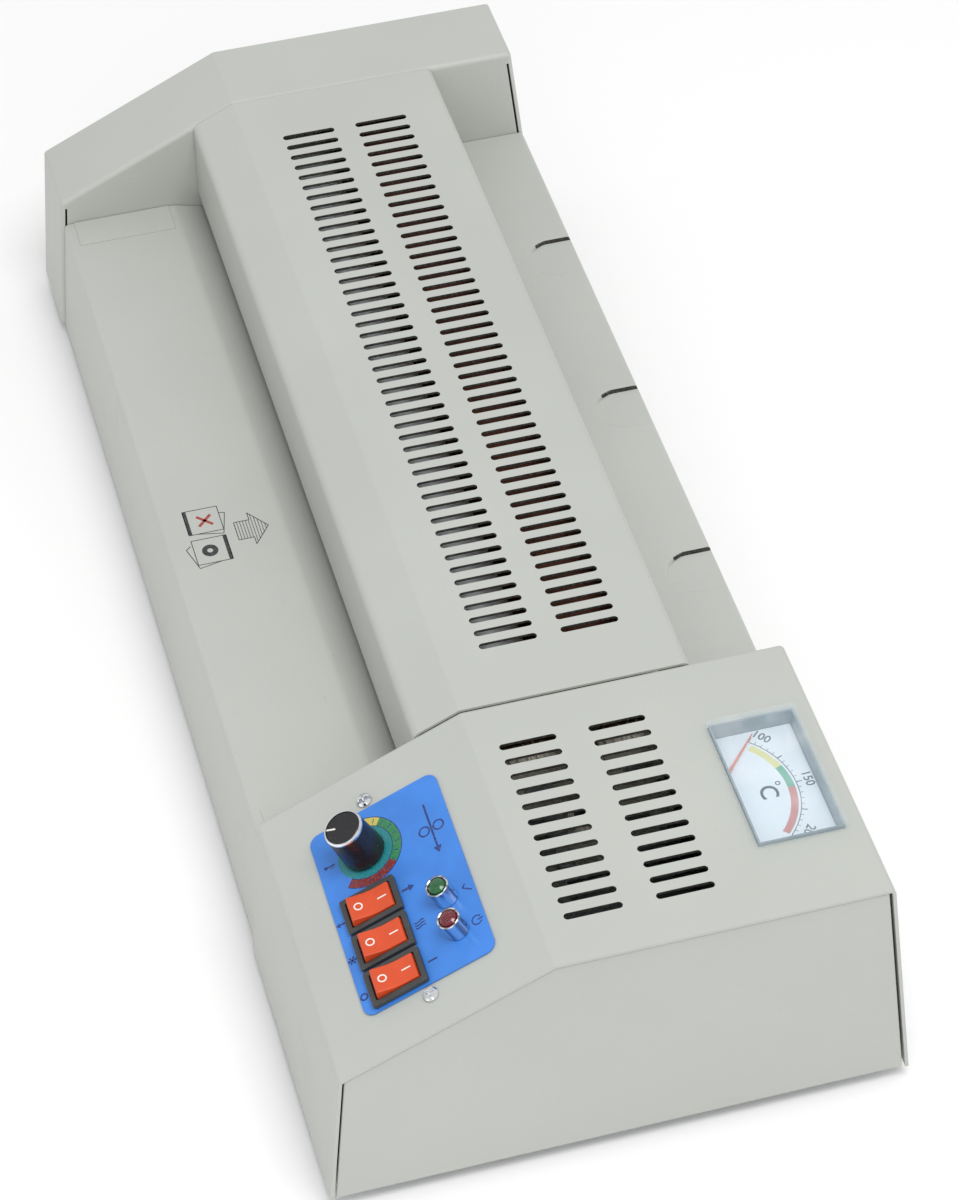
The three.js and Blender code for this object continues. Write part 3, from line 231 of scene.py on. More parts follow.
def rubber(name, colour, size):
    f = Finish(name)
    worn = f.noise(18 * MM, 4).between(0.42, 0.7)
    band = f.noise(5 * MM, 3, f.stretched(1, 0.2, 0.2)).between(0.4, 0.7)
    grain = f.noise(size, 3)
    tone = worn.pick(shade(colour, 0.8), shade(colour, 1.25))
    tone = (band * 0.4).pick(tone, shade(colour, 0.55))
    return f.surface(tone, 0.55 + 0.2 * worn, f.relief(grain, 0.05 * MM, 0.6))


def plastic(name, colour, rough, texture, depth, wear=0.5, **uniform):
    """Moulded plastic with a spark-eroded texture that handling has polished in places."""
    f = Finish(name)
    worn = f.noise(7 * MM, 4).between(0.45, 0.7)
    grain = f.noise(texture, 2)
    dust = f.noise(0.5 * MM, 2).between(0.68, 0.78)
    tone = worn.pick(shade(colour, 1.0), shade(colour, 1 + 0.25 * wear))
    tone = (dust * 0.35).pick(tone, (0.45, 0.45, 0.43, 1))
    roughness = rough + 0.10 * grain - 0.12 * wear * worn
    return f.surface(tone, roughness, f.relief(grain, depth, 0.7), **uniform)


def overlay():
    f = Finish("blue printed overlay")
    mottle = f.noise(16 * MM, 3)
    dots = f.noise(0.28 * MM, 1)
    blue = (0.045, 0.22, 0.70, 1)
    colour = mottle.between(0.3, 0.7).pick(shade(blue, 0.93), shade(blue, 1.08))
    roughness = 0.34 + 0.10 * dots + 0.06 * mottle
    return f.surface(colour, roughness, f.relief(dots, 0.008 * MM, 0.6), Coat_Weight=0.15)


def ink(name, colour, rough=0.45):
    """Screen-printed ink, a little thin in places."""
    f = Finish(name)
    thin = f.noise(0.7 * MM, 3).between(0.45, 0.8)
    tone = thin.pick(shade(colour, 1.0), tuple(0.8 * c + 0.1 for c in colour[:3]) + (1,))
    return f.surface(tone, rough + 0.1 * thin, f.relief(thin, 0.004 * MM, 0.4))


def lens(name, colour):
    f = Finish(name)
    depth = f.grain(1.1 * MM)
    cloud = f.noise(2.5 * MM, 2)
    tone = (depth * 1.3).pick(shade(colour, 0.55), shade(colour, 1.5))
    # Painted highlight: small bright spots in the middles of the facets stand in for glints of light.
    painted_glint = depth.between(0.24, 0.06) * cloud.between(0.42, 0.5)
    tone = (painted_glint * 0.55).pick(tone, tuple(0.35 + 3 * c for c in colour) + (1,))
    return f.surface(tone, 0.10 + 0.08 * cloud, f.relief(depth, 0.12 * MM, 0.5), Coat_Weight=0.6)


def clear_window():
    f = Finish("clear moulded window")
    smear = f.noise(11 * MM, 3).between(0.4, 0.75)
    fine = f.noise(0.9 * MM, 2)
    colour = smear.pick((0.70, 0.83, 0.90, 1), (0.86, 0.92, 0.96, 1))
    alpha = 0.10 + 0.06 * smear
    normal = f.relief(fine, 0.004 * MM, 0.3)
    return f.surface(colour, 0.04 + 0.08 * smear, normal, Alpha=alpha, Specular_IOR_Level=0.8)


def circuit_board():
    f = Finish("green circuit board")
    tracks = f.grain(3.2 * MM).between(0.25, 0.33)
    cloud = f.noise(20 * MM, 2)
    colour = tracks.pick((0.02, 0.16, 0.05, 1), (0.035, 0.24, 0.08, 1))
    return f.surface(colour, 0.35 + 0.15 * cloud, f.relief(tracks, 0.03 * MM, 0.5))


def painted_shade_edge():
    f = Finish("dusty punched edge")
    dust = f.noise(1.4 * MM, 3)
    burr = f.noise(0.3 * MM, 2)
    # Painted shade: the punched edges are coloured near black to stand in for the shade inside the slots and
    # slits; the noise gives a dusty tone.
    colour = dust.between(0.4, 0.7).pick((0.028, 0.027, 0.024, 1), (0.075, 0.073, 0.065, 1))
    return f.surface(colour, 0.6 + 0.2 * dust, f.relief(burr, 0.02 * MM, 0.5))


def dial_card():
    f = Finish("white printed dial card")
    fibre = f.noise(0.4 * MM, 3)
    shadow = f.noise(30 * MM, 2)
    colour = shadow.pick((0.74, 0.84, 0.93, 1), (0.83, 0.90, 0.96, 1))
    return f.surface(colour, 0.55 + 0.15 * fibre, f.relief(fibre, 0.01 * MM, 0.4))


FINISHES = {
    "enamel": powder_coat(),
    "zinc": metal("zinc plated sheet", (0.55, 0.57, 0.58), 0.34, 6, 0.5),
    "steel": metal("ground steel", (0.80, 0.81, 0.83), 0.42, 0.2, 0.2),
    "bronze": metal("sintered bronze", (0.55, 0.34, 0.14), 0.35, 2, 0.5),
    "roller_rubber": rubber("red brown silicone", (0.115, 0.030, 0.014), 0.5 * MM),
    "foot_rubber": rubber("black rubber", (0.018, 0.018, 0.018), 0.35 * MM),
    "nylon": plastic("white nylon", (0.78, 0.75, 0.66), 0.38, 0.5 * MM, 0.02 * MM),
    "board": circuit_board(),
    "black_plastic": plastic("black moulded plastic", (0.012, 0.012, 0.014), 0.26, 0.35 * MM, 0.01 * MM),
    "panel": overlay(),
    "bezel": plastic("dark grey nylon", (0.045, 0.047, 0.049), 0.42, 0.3 * MM, 0.02 * MM, 1.2),
    "rocker": plastic("orange polycarbonate", (0.66, 0.075, 0.018), 0.26, 0.5 * MM, 0.008 * MM, 0.3),
    # The lamp tubes and panel screws get plating with painted reflection streaks at full strength.
    "chrome": chrome("streaked plating", 1.0),
    "green_lens": lens("dark green lens", (0.004, 0.085, 0.022)),
    "red_lens": lens("dark red lens", (0.115, 0.003, 0.010)),
    "dial": dial_card(),
    "needle_paint": ink("red needle paint", (0.72, 0.20, 0.14)),
    "window": clear_window(),
}
PAINTED_SHADE_EDGE = painted_shade_edge()
# Polished plating: the same painted reflection streaks, kept faint.
POLISHED = chrome("polished plating", 0.12)
# Painted light: the meter case, black plastic by its slot, is coloured a pale blue grey that stands in for light
# seen through the clear window's walls.
METER_CASE_PAINTED_LIGHT = plastic("grey blue moulded case", (0.24, 0.295, 0.33), 0.30, 0.4 * MM, 0.01 * MM, 0.6)
WHITE_INK = ink("white mark", (0.86, 0.84, 0.80))
NAVY_INK = ink("dark blue print", (0.012, 0.04, 0.20))
BLACK_INK = ink("black print", (0.025, 0.025, 0.028))
RED_INK = ink("red print", (0.36, 0.05, 0.035))
YELLOW_INK = ink("yellow print", (0.62, 0.52, 0.10))
GREEN_INK = ink("green print", (0.02, 0.22, 0.08))
TEAL_INK = ink("teal print", (0.01, 0.23, 0.26))
DARK_RED_INK = ink("dark red print", (0.21, 0.02, 0.02))
PALE_YELLOW_INK = ink("pale yellow scale", (0.75, 0.74, 0.30))
PALE_GREEN_INK = ink("pale green scale", (0.06, 0.40, 0.26))
PALE_RED_INK = ink("pale red scale", (0.58, 0.19, 0.17))
GREY_INK = ink("grey print", (0.045, 0.055, 0.075))


# ---- making meshes ----
def added(name, data):
    """A new object in the scene."""
    made = bpy.data.objects.new(name, data)
    bpy.context.scene.collection.objects.link(made)
    return made


def piece(name, points, faces):
    mesh = bpy.data.meshes.new(name)
    mesh.from_pydata([tuple(p) for p in points], [], faces)
    return added(name, mesh)


def edit(made, change):
    """Runs change on the piece's mesh."""
    working = bmesh.new()
    working.from_mesh(made.data)
    change(working)
    working.to_mesh(made.data)
    working.free()
    return made


def closed(working):
    bmesh.ops.remove_doubles(working, verts=working.verts, dist=WELD)
    bmesh.ops.recalc_face_normals(working, faces=working.faces)


def placed(made, matrix):
    made.data.transform(matrix)
    return made


def moved(made, x=0, y=0, z=0):
    return placed(made, Matrix.Translation((x, y, z)))


def merged(name, pieces):
    """Joins pieces into one, and keeps each one's materials."""
    whole = bmesh.new()
    slots = []
    for part in pieces:
        first = len(whole.faces)
        whole.from_mesh(part.data)
        whole.faces.ensure_lookup_table()
        for face in whole.faces[first:]:
            own = part.data.materials[face.material_index] if part.data.materials else None
            if own not in slots:
                slots.append(own)
            face.material_index = slots.index(own)
        bpy.data.objects.remove(part)
    made = piece(name, [], [])
    whole.to_mesh(made.data)
    whole.free()
    for material in slots:
        if material:
            made.data.materials.append(material)
    return made


def baked(made):
    """Applies the piece's modifiers."""
    shown = made.evaluated_get(bpy.context.evaluated_depsgraph_get())
    mesh = bpy.data.meshes.new_from_object(shown)
    made.modifiers.clear()
    made.data = mesh
    return made


def bevelled(made, width, segments=2, angle=50):
    """Eases the edges sharper than angle."""
    bevel = made.modifiers.new("edge", "BEVEL")
    bevel.width, bevel.segments, bevel.limit_method = width, segments, "ANGLE"
    bevel.angle_limit = radians(angle)
    bevel.use_clamp_overlap = True
    return baked(made)


def carved(made, cutters, operation="DIFFERENCE"):
    for tool in cutters:
        boolean = made.modifiers.new("cut", "BOOLEAN")
        boolean.object, boolean.operation, boolean.solver = tool, operation, "EXACT"
        baked(made)
        bpy.data.objects.remove(tool)
    return made


def smoothed(made, angle=32):
    """Smooth faces with the edges sharper than angle left crisp and the large faces left flat."""
    made.data.shade_smooth()
    made.data.set_sharp_from_angle(angle=radians(angle))
    weighted = made.modifiers.new("flat faces", "WEIGHTED_NORMAL")
    weighted.keep_sharp = True
    return baked(made)


def settle(made, body, slot, material=None, stands_for=(), angle=32):
    """Gives a finished piece its material, its body and the CAD nodes that it stands for."""
    if material or not made.data.materials:
        made.data.materials.clear()
        made.data.materials.append(material or FINISHES[slot])
    smoothed(made, angle)
    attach(made, body)
    if stands_for:
        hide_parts(*stands_for)
    return made


def raised(name, outline, z0, z1):
    """A flat outline raised from z0 to z1."""
    n = len(outline)
    points = [(x, y, z0) for x, y in outline] + [(x, y, z1) for x, y in outline]
    sides = [(i, (i + 1) % n, n + (i + 1) % n, n + i) for i in range(n)]
    made = piece(name, points, [tuple(range(n)), tuple(range(n, 2 * n))] + sides)
    return edit(made, closed)


def block(low, high, name="block"):
    (x0, y0, z0), (x1, y1, z1) = low, high
    return raised(name, [(x0, y0), (x1, y0), (x1, y1), (x0, y1)], z0, z1)


def swept(name, section, x0, x1):
    """A closed YZ section swept along X."""
    made = raised(name, section, x0, x1)
    return edit(placed(made, Matrix(((0, 0, 1, 0), (1, 0, 0, 0), (0, 1, 0, 0), (0, 0, 0, 1)))), closed)


def turned(name, profile, sides=48):
    """A closed (radius, height) profile turned round Z."""
    n = len(profile)
    points, faces = [], []
    for i in range(sides):
        a = 2 * pi * i / sides
        points += [(r * cos(a), r * sin(a), z) for r, z in profile]
    for i in range(sides):
        j = (i + 1) % sides
        for k in range(n):
            m = (k + 1) % n
            faces.append((i * n + k, j * n + k, j * n + m, i * n + m))

    def close_poles(working):
        bmesh.ops.remove_doubles(working, verts=working.verts, dist=WELD)
        bmesh.ops.dissolve_degenerate(working, edges=working.edges, dist=WELD / 10)
        bmesh.ops.recalc_face_normals(working, faces=working.faces)

    return edit(piece(name, points, faces), close_poles)


def rod(radius, z0, z1, x=0, y=0, sides=32):
    """A cylinder along Z."""
    return moved(raised("rod", circle(0, 0, radius, sides), z0, z1), x, y)


def arc(cx, cy, radius, a0, a1, steps):
    """Points on an arc, angles in degrees."""
    turns = [radians(a0 + (a1 - a0) * i / steps) for i in range(steps + 1)]
    return [(cx + radius * cos(a), cy + radius * sin(a)) for a in turns]


def mm(points):
    """Points given in millimetres, as metres."""
    return [(a * MM, b * MM) for a, b in points]


def circle(cx, cy, radius, sides=32):
    return arc(cx, cy, radius, 0, 360, sides)[:-1]


def round_rect(cx, cy, width, depth, radius, steps=8):
    x, y = width / 2 - radius, depth / 2 - radius
    corners = [(x, -y, -90), (x, y, 0), (-x, y, 90), (-x, -y, 180)]
    return [p for dx, dy, a in corners for p in arc(cx + dx, cy + dy, radius, a, a + 90, steps)]


def ring_sector(cx, cy, inner, outer, a0, a1):
    steps = max(2, ceil(abs(a1 - a0) / 4))
    return arc(cx, cy, outer, a0, a1, steps) + arc(cx, cy, inner, a1, a0, steps)


def full_ring(cx, cy, inner, outer):
    return [ring_sector(cx, cy, inner, outer, a, a + 180) for a in (0, 180)]


def stroke(start, end, width):
    (x0, y0), (x1, y1) = start, end
    length = hypot(x1 - x0, y1 - y0)
    u, v = -(y1 - y0) / length * width / 2, (x1 - x0) / length * width / 2
    return [(x0 + u, y0 + v), (x0 - u, y0 - v), (x1 - u, y1 - v), (x1 + u, y1 + v)]


def polyline(points, width):
    return [stroke(a, b, width) for a, b in zip(points, points[1:])]


def filleted(path, radii, steps=6):
    """Rounds each inner corner of an open path with an arc of its own radius."""
    out = [Vector(path[0])]
    for before, corner, after, radius in zip(path, path[1:], path[2:], radii):
        corner = Vector(corner)
        back = (Vector(before) - corner).normalized()
        ahead = (Vector(after) - corner).normalized()
        half = back.angle(ahead) / 2
        middle = corner + (back + ahead).normalized() * radius / sin(half)
        start = corner + (back * radius / tan(half)) - middle
        end = corner + (ahead * radius / tan(half)) - middle
        first = atan2(start.y, start.x)
        sweep = (atan2(end.y, end.x) - first + pi) % (2 * pi) - pi
        for i in range(steps + 1):
            a = first + sweep * i / steps
            out.append(middle + Vector((cos(a), sin(a))) * radius)
    out.append(Vector(path[-1]))
    return [tuple(p) for p in out]


def inset(path, distance):
    """The path's parallel on its right-hand side, with mitred corners."""
    points = [Vector(p) for p in path]
    across = [(b - a).normalized() for a, b in zip(points, points[1:])]
    across = [Vector((d.y, -d.x)) for d in across]
    out = []
    for i, point in enumerate(points):
        a, b = across[max(i - 1, 0)], across[min(i, len(across) - 1)]
        out.append(tuple(point + (a + b) * distance / (1 + a.dot(b))))
    return out


def folded_sheet(name, path, x0, x1, thickness=SHEET):
    """Sheet bent along an outer path and swept along X."""
    return swept(name, path + inset(path, thickness)[::-1], x0, x1)


def doubled_sheet(name, outer, inner, n, open_rows, more=()):
    """Two skins of a sheet, in rows of n points, joined along the rows' ends and the open rows."""
    far = len(outer)
    faces = list(more)

    def joined(a, b):
        faces.append((a, b, far + b, far + a))

    for i in range(far // n - 1):
        row = i * n
        for k in range(row, row + n - 1):
            faces += [(k, k + n, k + n + 1, k + 1), (far + k, far + k + 1, far + k + n + 1, far + k + n)]
        joined(row, row + n)
        joined(row + n - 1, row + 2 * n - 1)
    for i in open_rows:
        for k in range(i * n, i * n + n - 1):
            joined(k, k + 1)
    return edit(piece(name, outer + inner, faces), closed)


# ---- patterns made by geometry nodes ----
def pattern_tree(name, inputs):
    """A new geometry tree with named inputs, and its input sockets by name."""
    tree = bpy.data.node_groups.new(name, "GeometryNodeTree")
    tree.interface.new_socket("Geometry", in_out="INPUT", socket_type="NodeSocketGeometry")
    for label, kind in inputs.items():
        tree.interface.new_socket(label, in_out="INPUT", socket_type="NodeSocket" + kind)
    tree.interface.new_socket("Geometry", in_out="OUTPUT", socket_type="NodeSocketGeometry")
    entry = tree.nodes.new("NodeGroupInput")
    graph = Graph(tree)
    return graph, {s.name: Value(graph, s) for s in entry.outputs if s.name}


def finish_pattern(graph, geometry, material, **selection):
    real = graph.node("GeometryNodeRealizeInstances", None, {"Geometry": geometry})
    values = {"Geometry": real, "Material": material, **selection}
    done = graph.node("GeometryNodeSetMaterial", None, values)
    graph.node("NodeGroupOutput", None, {"Geometry": done})
    return graph.tree


def grown(made, tree, **sizes):
    """Runs a pattern tree on a piece with the given inputs and keeps the result."""
    modifier = made.modifiers.new("pattern", "NODES")
    modifier.node_group = tree
    sockets = {s.name: s.identifier for s in tree.interface.items_tree if s.in_out == "INPUT"}
    for label, value in sizes.items():
        modifier[sockets[label.replace("_", " ")]] = value
    return baked(made)


def vector(graph, x=0.0, y=0.0, z=0.0):
    return graph.node("ShaderNodeCombineXYZ", None, {"X": x, "Y": y, "Z": z})


def slot_pattern():
    """Rows of round-ended slots cut down through a sheet."""
    inputs = {"Width": "Float", "Length": "Float", "Pitch": "Float", "Row Pitch": "Float"}
    inputs.update({"Count": "Int", "Rows": "Int", "Centre": "Vector", "Depth": "Float"})
    inputs.update({"Material": "Material", "Wall Material": "Material"})
    g, given = pattern_tree("vent slots", inputs)
    outline = g.node(
        "GeometryNodeCurvePrimitiveQuadrilateral", None, {"Width": given["Width"], "Height": given["Length"]}
    )
    round_end = {"Curve": outline, "Count": 7, "Radius": given["Width"] * 0.499}
    outline = g.node("GeometryNodeFilletCurve", {"mode": "POLY"}, round_end)
    face = g.node("GeometryNodeFillCurve", {"mode": "NGONS"}, {"Curve": outline})
    up = vector(g, z=given["Depth"])
    wall = g.node("GeometryNodeExtrudeMesh", None, {"Mesh": face, "Offset": up, "Individual": False})
    both = g.node("GeometryNodeJoinGeometry")
    lid = g.node("GeometryNodeFlipFaces", None, {"Mesh": face})
    for part in (wall, lid):
        g.tree.links.new(part.socket, both.socket.node.inputs[0])
    cutter = g.node("GeometryNodeMergeByDistance", None, {"Geometry": both, "Distance": 1e-6})
    spans = {
        "Size X": given["Pitch"] * (given["Count"] - 1),
        "Size Y": given["Row Pitch"] * (given["Rows"] - 1),
        "Vertices X": given["Count"],
        "Vertices Y": given["Rows"],
    }
    grid = g.node("GeometryNodeMeshGrid", None, spans)
    grid = g.node("GeometryNodeTransform", None, {"Geometry": grid, "Translation": given["Centre"]})
    cutters = g.node("GeometryNodeInstanceOnPoints", None, {"Points": grid, "Instance": cutter})
    cutters = g.node("GeometryNodeRealizeInstances", None, {"Geometry": cutters})
    walls = {"Geometry": cutters, "Material": given["Wall Material"]}
    cutters = g.node("GeometryNodeSetMaterial", None, walls)
    cut = g.node(
        "GeometryNodeMeshBoolean",
        {"operation": "DIFFERENCE", "solver": "EXACT"},
        {"Mesh 1": given["Geometry"], "Mesh 2": cutters},
    )
    wall = g.node("GeometryNodeMaterialSelection", None, {"Material": given["Wall Material"]})
    rest = g.node("FunctionNodeBooleanMath", {"operation": "NOT"}, {0: wall})
    return finish_pattern(g, cut, given["Material"], Selection=rest)


def grid_pattern():
    """Copies of a piece at the points of a grid."""
    inputs = {"Span X": "Float", "Span Y": "Float", "Count X": "Int", "Count Y": "Int"}
    g, given = pattern_tree("grid of copies", {**inputs, "Material": "Material"})
    spans = {"Size X": given["Span X"], "Size Y": given["Span Y"]}
    counts = {"Vertices X": given["Count X"], "Vertices Y": given["Count Y"]}
    grid = g.node("GeometryNodeMeshGrid", None, {**spans, **counts})
    copies = g.node("GeometryNodeInstanceOnPoints", None, {"Points": grid, "Instance": given["Geometry"]})
    return finish_pattern(g, copies, given["Material"])


def fan_pattern():
    """Copies of a piece turned about Z by equal steps."""
    inputs = {"Count": "Int", "Start": "Float", "Step": "Float", "Material": "Material"}
    g, given = pattern_tree("fan of copies", inputs)
    line = g.node("GeometryNodeMeshLine", None, {"Count": given["Count"], "Offset": (0.0, 0.0, 0.0)})
    index = g.node("GeometryNodeInputIndex")
    turn = vector(g, z=given["Start"] + given["Step"] * index)
    values = {"Points": line, "Instance": given["Geometry"], "Rotation": turn}
    return finish_pattern(g, g.node("GeometryNodeInstanceOnPoints", None, values), given["Material"])


SLOTS = slot_pattern()
GRID = grid_pattern()
FAN = fan_pattern()


# ---- prints ----
def printed(name, groups, matrix, body, slot, lift=0.0):
    """Flat inks laid on a face: groups are (ink, outlines) in the face's own frame."""
    layers = []
    for material, outlines in groups:
        for outline in outlines:
            layer = raised("layer", outline, lift - INK / 4, lift + INK)
            layer.data.materials.append(material)
            layers.append(layer)
    made = placed(merged(name, layers), matrix)
    return settle(made, body, slot)


def numeral(text, size, x, y, turn, lift, material):
    """Digits centred on a place of a face, turned by an angle in degrees."""
    curve = bpy.data.curves.new("digits", "FONT")
    curve.body, curve.size, curve.extrude, curve.resolution_u = text, size, INK / 2, 4
    curve.offset = 0.012 * size
    curve.align_x, curve.align_y = "CENTER", "CENTER"
    drawn = added("digits", curve)
    mesh = bpy.data.meshes.new_from_object(drawn.evaluated_get(bpy.context.evaluated_depsgraph_get()))
    bpy.data.objects.remove(drawn)
    made = added("digits", mesh)
    mesh.materials.clear()
    mesh.materials.append(material)
    place = Matrix.Translation((x, y, lift + INK / 2)) @ Matrix.Rotation(radians(turn), 4, "Z")
    return edit(placed(made, place), closed)


# ---- covers ----
SLOT_W = 2.75 * MM
SLOT_DEPTH = 4 * MM
TOP_SLOTS = {"count": 46, "pitch": 6.504 * MM, "length": 21.2 * MM, "row_pitch": 30 * MM}
TOP_SLOTS_BACK = 40.3 * MM
CONTROL_SLOTS = {"count": 12, "pitch": 7.077 * MM, "length": 20.4 * MM, "row_pitch": 32 * MM}
CONTROL_SLOTS_BACK = 34.8 * MM
COVER_EASE = 0.16 * MM
SHEET_EASE = 0.18 * MM
REAR_FOLD_R = 3 * MM
EXIT_MOUTH = 6.2 * MM


def slotted(made, x, back, count, pitch, length, row_pitch):
    """Two rows of slots centred on x and a distance behind the crease."""
    sizes = {"Width": SLOT_W, "Length": length, "Depth": SLOT_DEPTH, "Pitch": pitch, "Row_Pitch": row_pitch}
    centre = (x, CREASE_Y + back, TOP_Z - SLOT_DEPTH / 2)
    # The slot walls take the near-black painted shade finish.
    finishes = {"Material": FINISHES["enamel"], "Wall_Material": PAINTED_SHADE_EDGE}
    return grown(made, SLOTS, Count=count, Rows=2, Centre=centre, **sizes, **finishes)


def top_cover():
    """The slotted cover over the rollers, with a soft fold along the mouth."""
    path = [
        (TOP_LOW.y, TOP_LOW.z),
        (TOP_LOW.y, TOP_Z - (CREASE_Y - TOP_LOW.y) * tan(SLOPE)),
        (CREASE_Y, TOP_Z),
        (TOP_HIGH.y, TOP_Z),
        (TOP_HIGH.y, TRAY_HIGH.z + EXIT_MOUTH),
    ]
    path = filleted(path, [SOFT_FOLD_R, FOLD_R, REAR_FOLD_R])
    made = folded_sheet("top_cover_sheet", path, TOP_LOW.x, TOP_HIGH.x)
    made = slotted(made, (TOP_LOW.x + TOP_HIGH.x) / 2, TOP_SLOTS_BACK, **TOP_SLOTS)
    settle(bevelled(made, COVER_EASE), "body", "enamel", stands_for=["top_cover"])


def cover_shell(name, outer_x, inner_x):
    """An end cover: one sheet folded over the outline and turned down into the inner wall."""
    inward = 1 if inner_x > outer_x else -1
    path = filleted(OUTLINE, [FOLD_R] * 3)
    steps = 5

    def skin(depth, radius):
        """Points from the open end to the inner wall, depth below the outer face."""
        loops = [(outer_x, inset(path, depth))]
        for i in range(steps + 1):
            a = pi / 2 * i / steps
            x = inner_x - inward * (depth + radius * (1 - sin(a)))
            loops.append((x, inset(path, depth + radius * (1 - cos(a)))))
        return [(x, y, z) for x, loop in loops for y, z in loop]

    outer, inner = skin(0.0, FOLD_R), skin(SHEET, FOLD_R - SHEET)
    n, far = len(path), len(outer)
    wall = range(far - n, far)
    walls = [tuple(wall), tuple(i + far for i in wall), (wall[0], wall[-1], far + wall[-1], far + wall[0])]
    return doubled_sheet(name, outer, inner, n, [0], walls)


PAN_CLEAR_Z = BASE_Z + 12.5 * MM
WINDOW_MARGIN = 5 * MM
ROLLER_LOW, ROLLER_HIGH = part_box("hot_lower_sleeve")[0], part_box("hot_upper_roller")[1]
SLIT_W = 0.9 * MM
SLIT_IN = 2.2 * SHEET


def wall_cutters(inner_x, inward):
    """The roller window, the open foot of the inner wall and the slits where its tabs meet the walls."""
    x0, x1 = sorted((inner_x + inward * MM, inner_x - inward * 2 * FOLD_R))
    window = block(
        (x0, TOP_LOW.y + WINDOW_MARGIN, ROLLER_LOW.z - WINDOW_MARGIN),
        (x1, TOP_HIGH.y - WINDOW_MARGIN, ROLLER_HIGH.z + WINDOW_MARGIN / 2),
    )
    foot = block((x0, CAP_LOW.y + 2 * SHEET, BASE_Z - MM), (x1, CAP_HIGH.y - 2 * SHEET, PAN_CLEAR_Z))
    rear = [(rear_wall_y(z) - SLIT_IN, z) for z in (BASE_Z - MM, TOP_Z - 5 * MM)]
    rear += [(y + SLIT_W, z) for y, z in rear[::-1]]
    front_top = TOP_Z - SLOPE_DROP - 3 * MM
    front = [(front_wall_y(z) + SLIT_IN, z) for z in (BASE_Z - MM, front_top)]
    front += [(y - SLIT_W, z) for y, z in front[::-1]]
    depth = sorted((inner_x + inward * MM, inner_x - inward * (SHEET + MM)))
    return [window, foot, swept("slit", rear, *depth), swept("slit", front, *depth)]


def far_cover():
    made = cover_shell("far_cover_sheet", FAR_LOW.x, MID_X0)
    made = carved(made, wall_cutters(MID_X0, 1))
    settle(bevelled(made, SHEET_EASE), "body", "enamel", stands_for=["far_cover"])


PANEL_LOW, PANEL_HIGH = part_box("panel_plate")
CONTROL_X = (PANEL_LOW.x + PANEL_HIGH.x) / 2
METER_LOW, METER_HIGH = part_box("meter_window")
METER_RIM = 0.9 * MM
SWITCHES = ["direction", "heat", "power"]
SWITCH_HOLE = (12.9 * MM, 18.6 * MM, 0.5 * MM)
ROUND_HOLES = {"potentiometer": 3.9 * MM, "ready_lamp_bezel": 3.3 * MM, "power_lamp_bezel": 3.3 * MM}
GLAND_HOLE_R = 6.3 * MM


def middle(node):
    low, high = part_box(node)
    return (low + high) / 2


def slope_place(node):
    """The middle of a node in the frame of the sloping face."""
    return ON_SLOPE.inverted() @ middle(node)


def control_holes(z0, z1):
    """Cutters in the sloping face's frame for the switches, the potentiometer and the lamps."""
    holes = []
    for name in SWITCHES:
        at = slope_place(name + "_switch_housing")
        holes.append(raised("hole", round_rect(at.x, at.y, *SWITCH_HOLE, 2), z0, z1))
    for node, radius in ROUND_HOLES.items():
        at = slope_place(node)
        holes.append(rod(radius, z0, z1, at.x, at.y))
    return holes


def control_cover():
    """The cover over the control end, open for the thermometer, the controls, the slots and the gland."""
    made = cover_shell("control_cover_sheet", CAP_HIGH.x, MID_X1)
    through = 5 * MM
    lip = Vector((METER_RIM, METER_RIM, -through))
    cutters = wall_cutters(MID_X1, -1) + [block(METER_LOW + lip, METER_HIGH - lip)]
    cutters += [placed(hole, ON_SLOPE) for hole in control_holes(-through, through)]
    hole = placed(rod(GLAND_HOLE_R, -2 * through, 2 * through), Matrix.Rotation(pi / 2, 4, "X"))
    cutters.append(moved(hole, *middle("cord_gland")))
    made = slotted(carved(made, cutters), CONTROL_X, CONTROL_SLOTS_BACK, **CONTROL_SLOTS)
    settle(bevelled(made, COVER_EASE), "body", "enamel", stands_for=["control_cover"])


PLATE_SEAM = 0.6 * MM


def end_plate(node):
    """The flat end wall that closes a cover, set just inside its edge."""
    low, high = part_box(node)
    outline = inset(OUTLINE, SHEET + GAP + PLATE_SEAM)
    made = swept(node + "_sheet", outline, low.x, high.x)
    settle(bevelled(made, 0.35 * MM, 3, 30), "body", "enamel", stands_for=[node])


TABLE_CREASE_Y = front_wall_y(TABLE_HIGH.z) + 1.4 * MM
TABLE_FLAT = 46 * MM
LIP_DIP = 3.6 * MM
LIP_FOLD_R = 9 * MM


def feed_table():
    """The front wall and the feed table in one sheet, with its lip dipping into the mouth."""
    z = TABLE_HIGH.z
    flat = [(TABLE_CREASE_Y, z), (TABLE_CREASE_Y + TABLE_FLAT, z)]
    path = filleted([(TABLE_LOW.y, BASE_Z)] + flat + [(TABLE_HIGH.y, z - LIP_DIP)], [FOLD_R, LIP_FOLD_R])
    made = folded_sheet("feed_table_sheet", path, TABLE_LOW.x, TABLE_HIGH.x)
    settle(bevelled(made, SHEET_EASE), "body", "enamel", stands_for=["feed_table"])


NOTCH_PITCH = 92.8 * MM
NOTCH_XS = [(TRAY_LOW.x + TRAY_HIGH.x) / 2 + i * NOTCH_PITCH for i in (-1, 0, 1)]
NOTCH_R = 11 * MM
NOTCH_REACH = 20 * MM
NOTCH_DEPTH = 1.2 * MM
NOTCH_SHALLOW = 0.12
NOTCH_EDGE = 0.5 * MM
SLIT_DROP = 0.5 * MM
SLIT_EDGES = (0.3 * MM, 0.8 * MM)
TRAY_SHY = 0.4 * MM
TRAY_FOLD_R = 1.6 * MM
FINE_STEP = 0.35 * MM


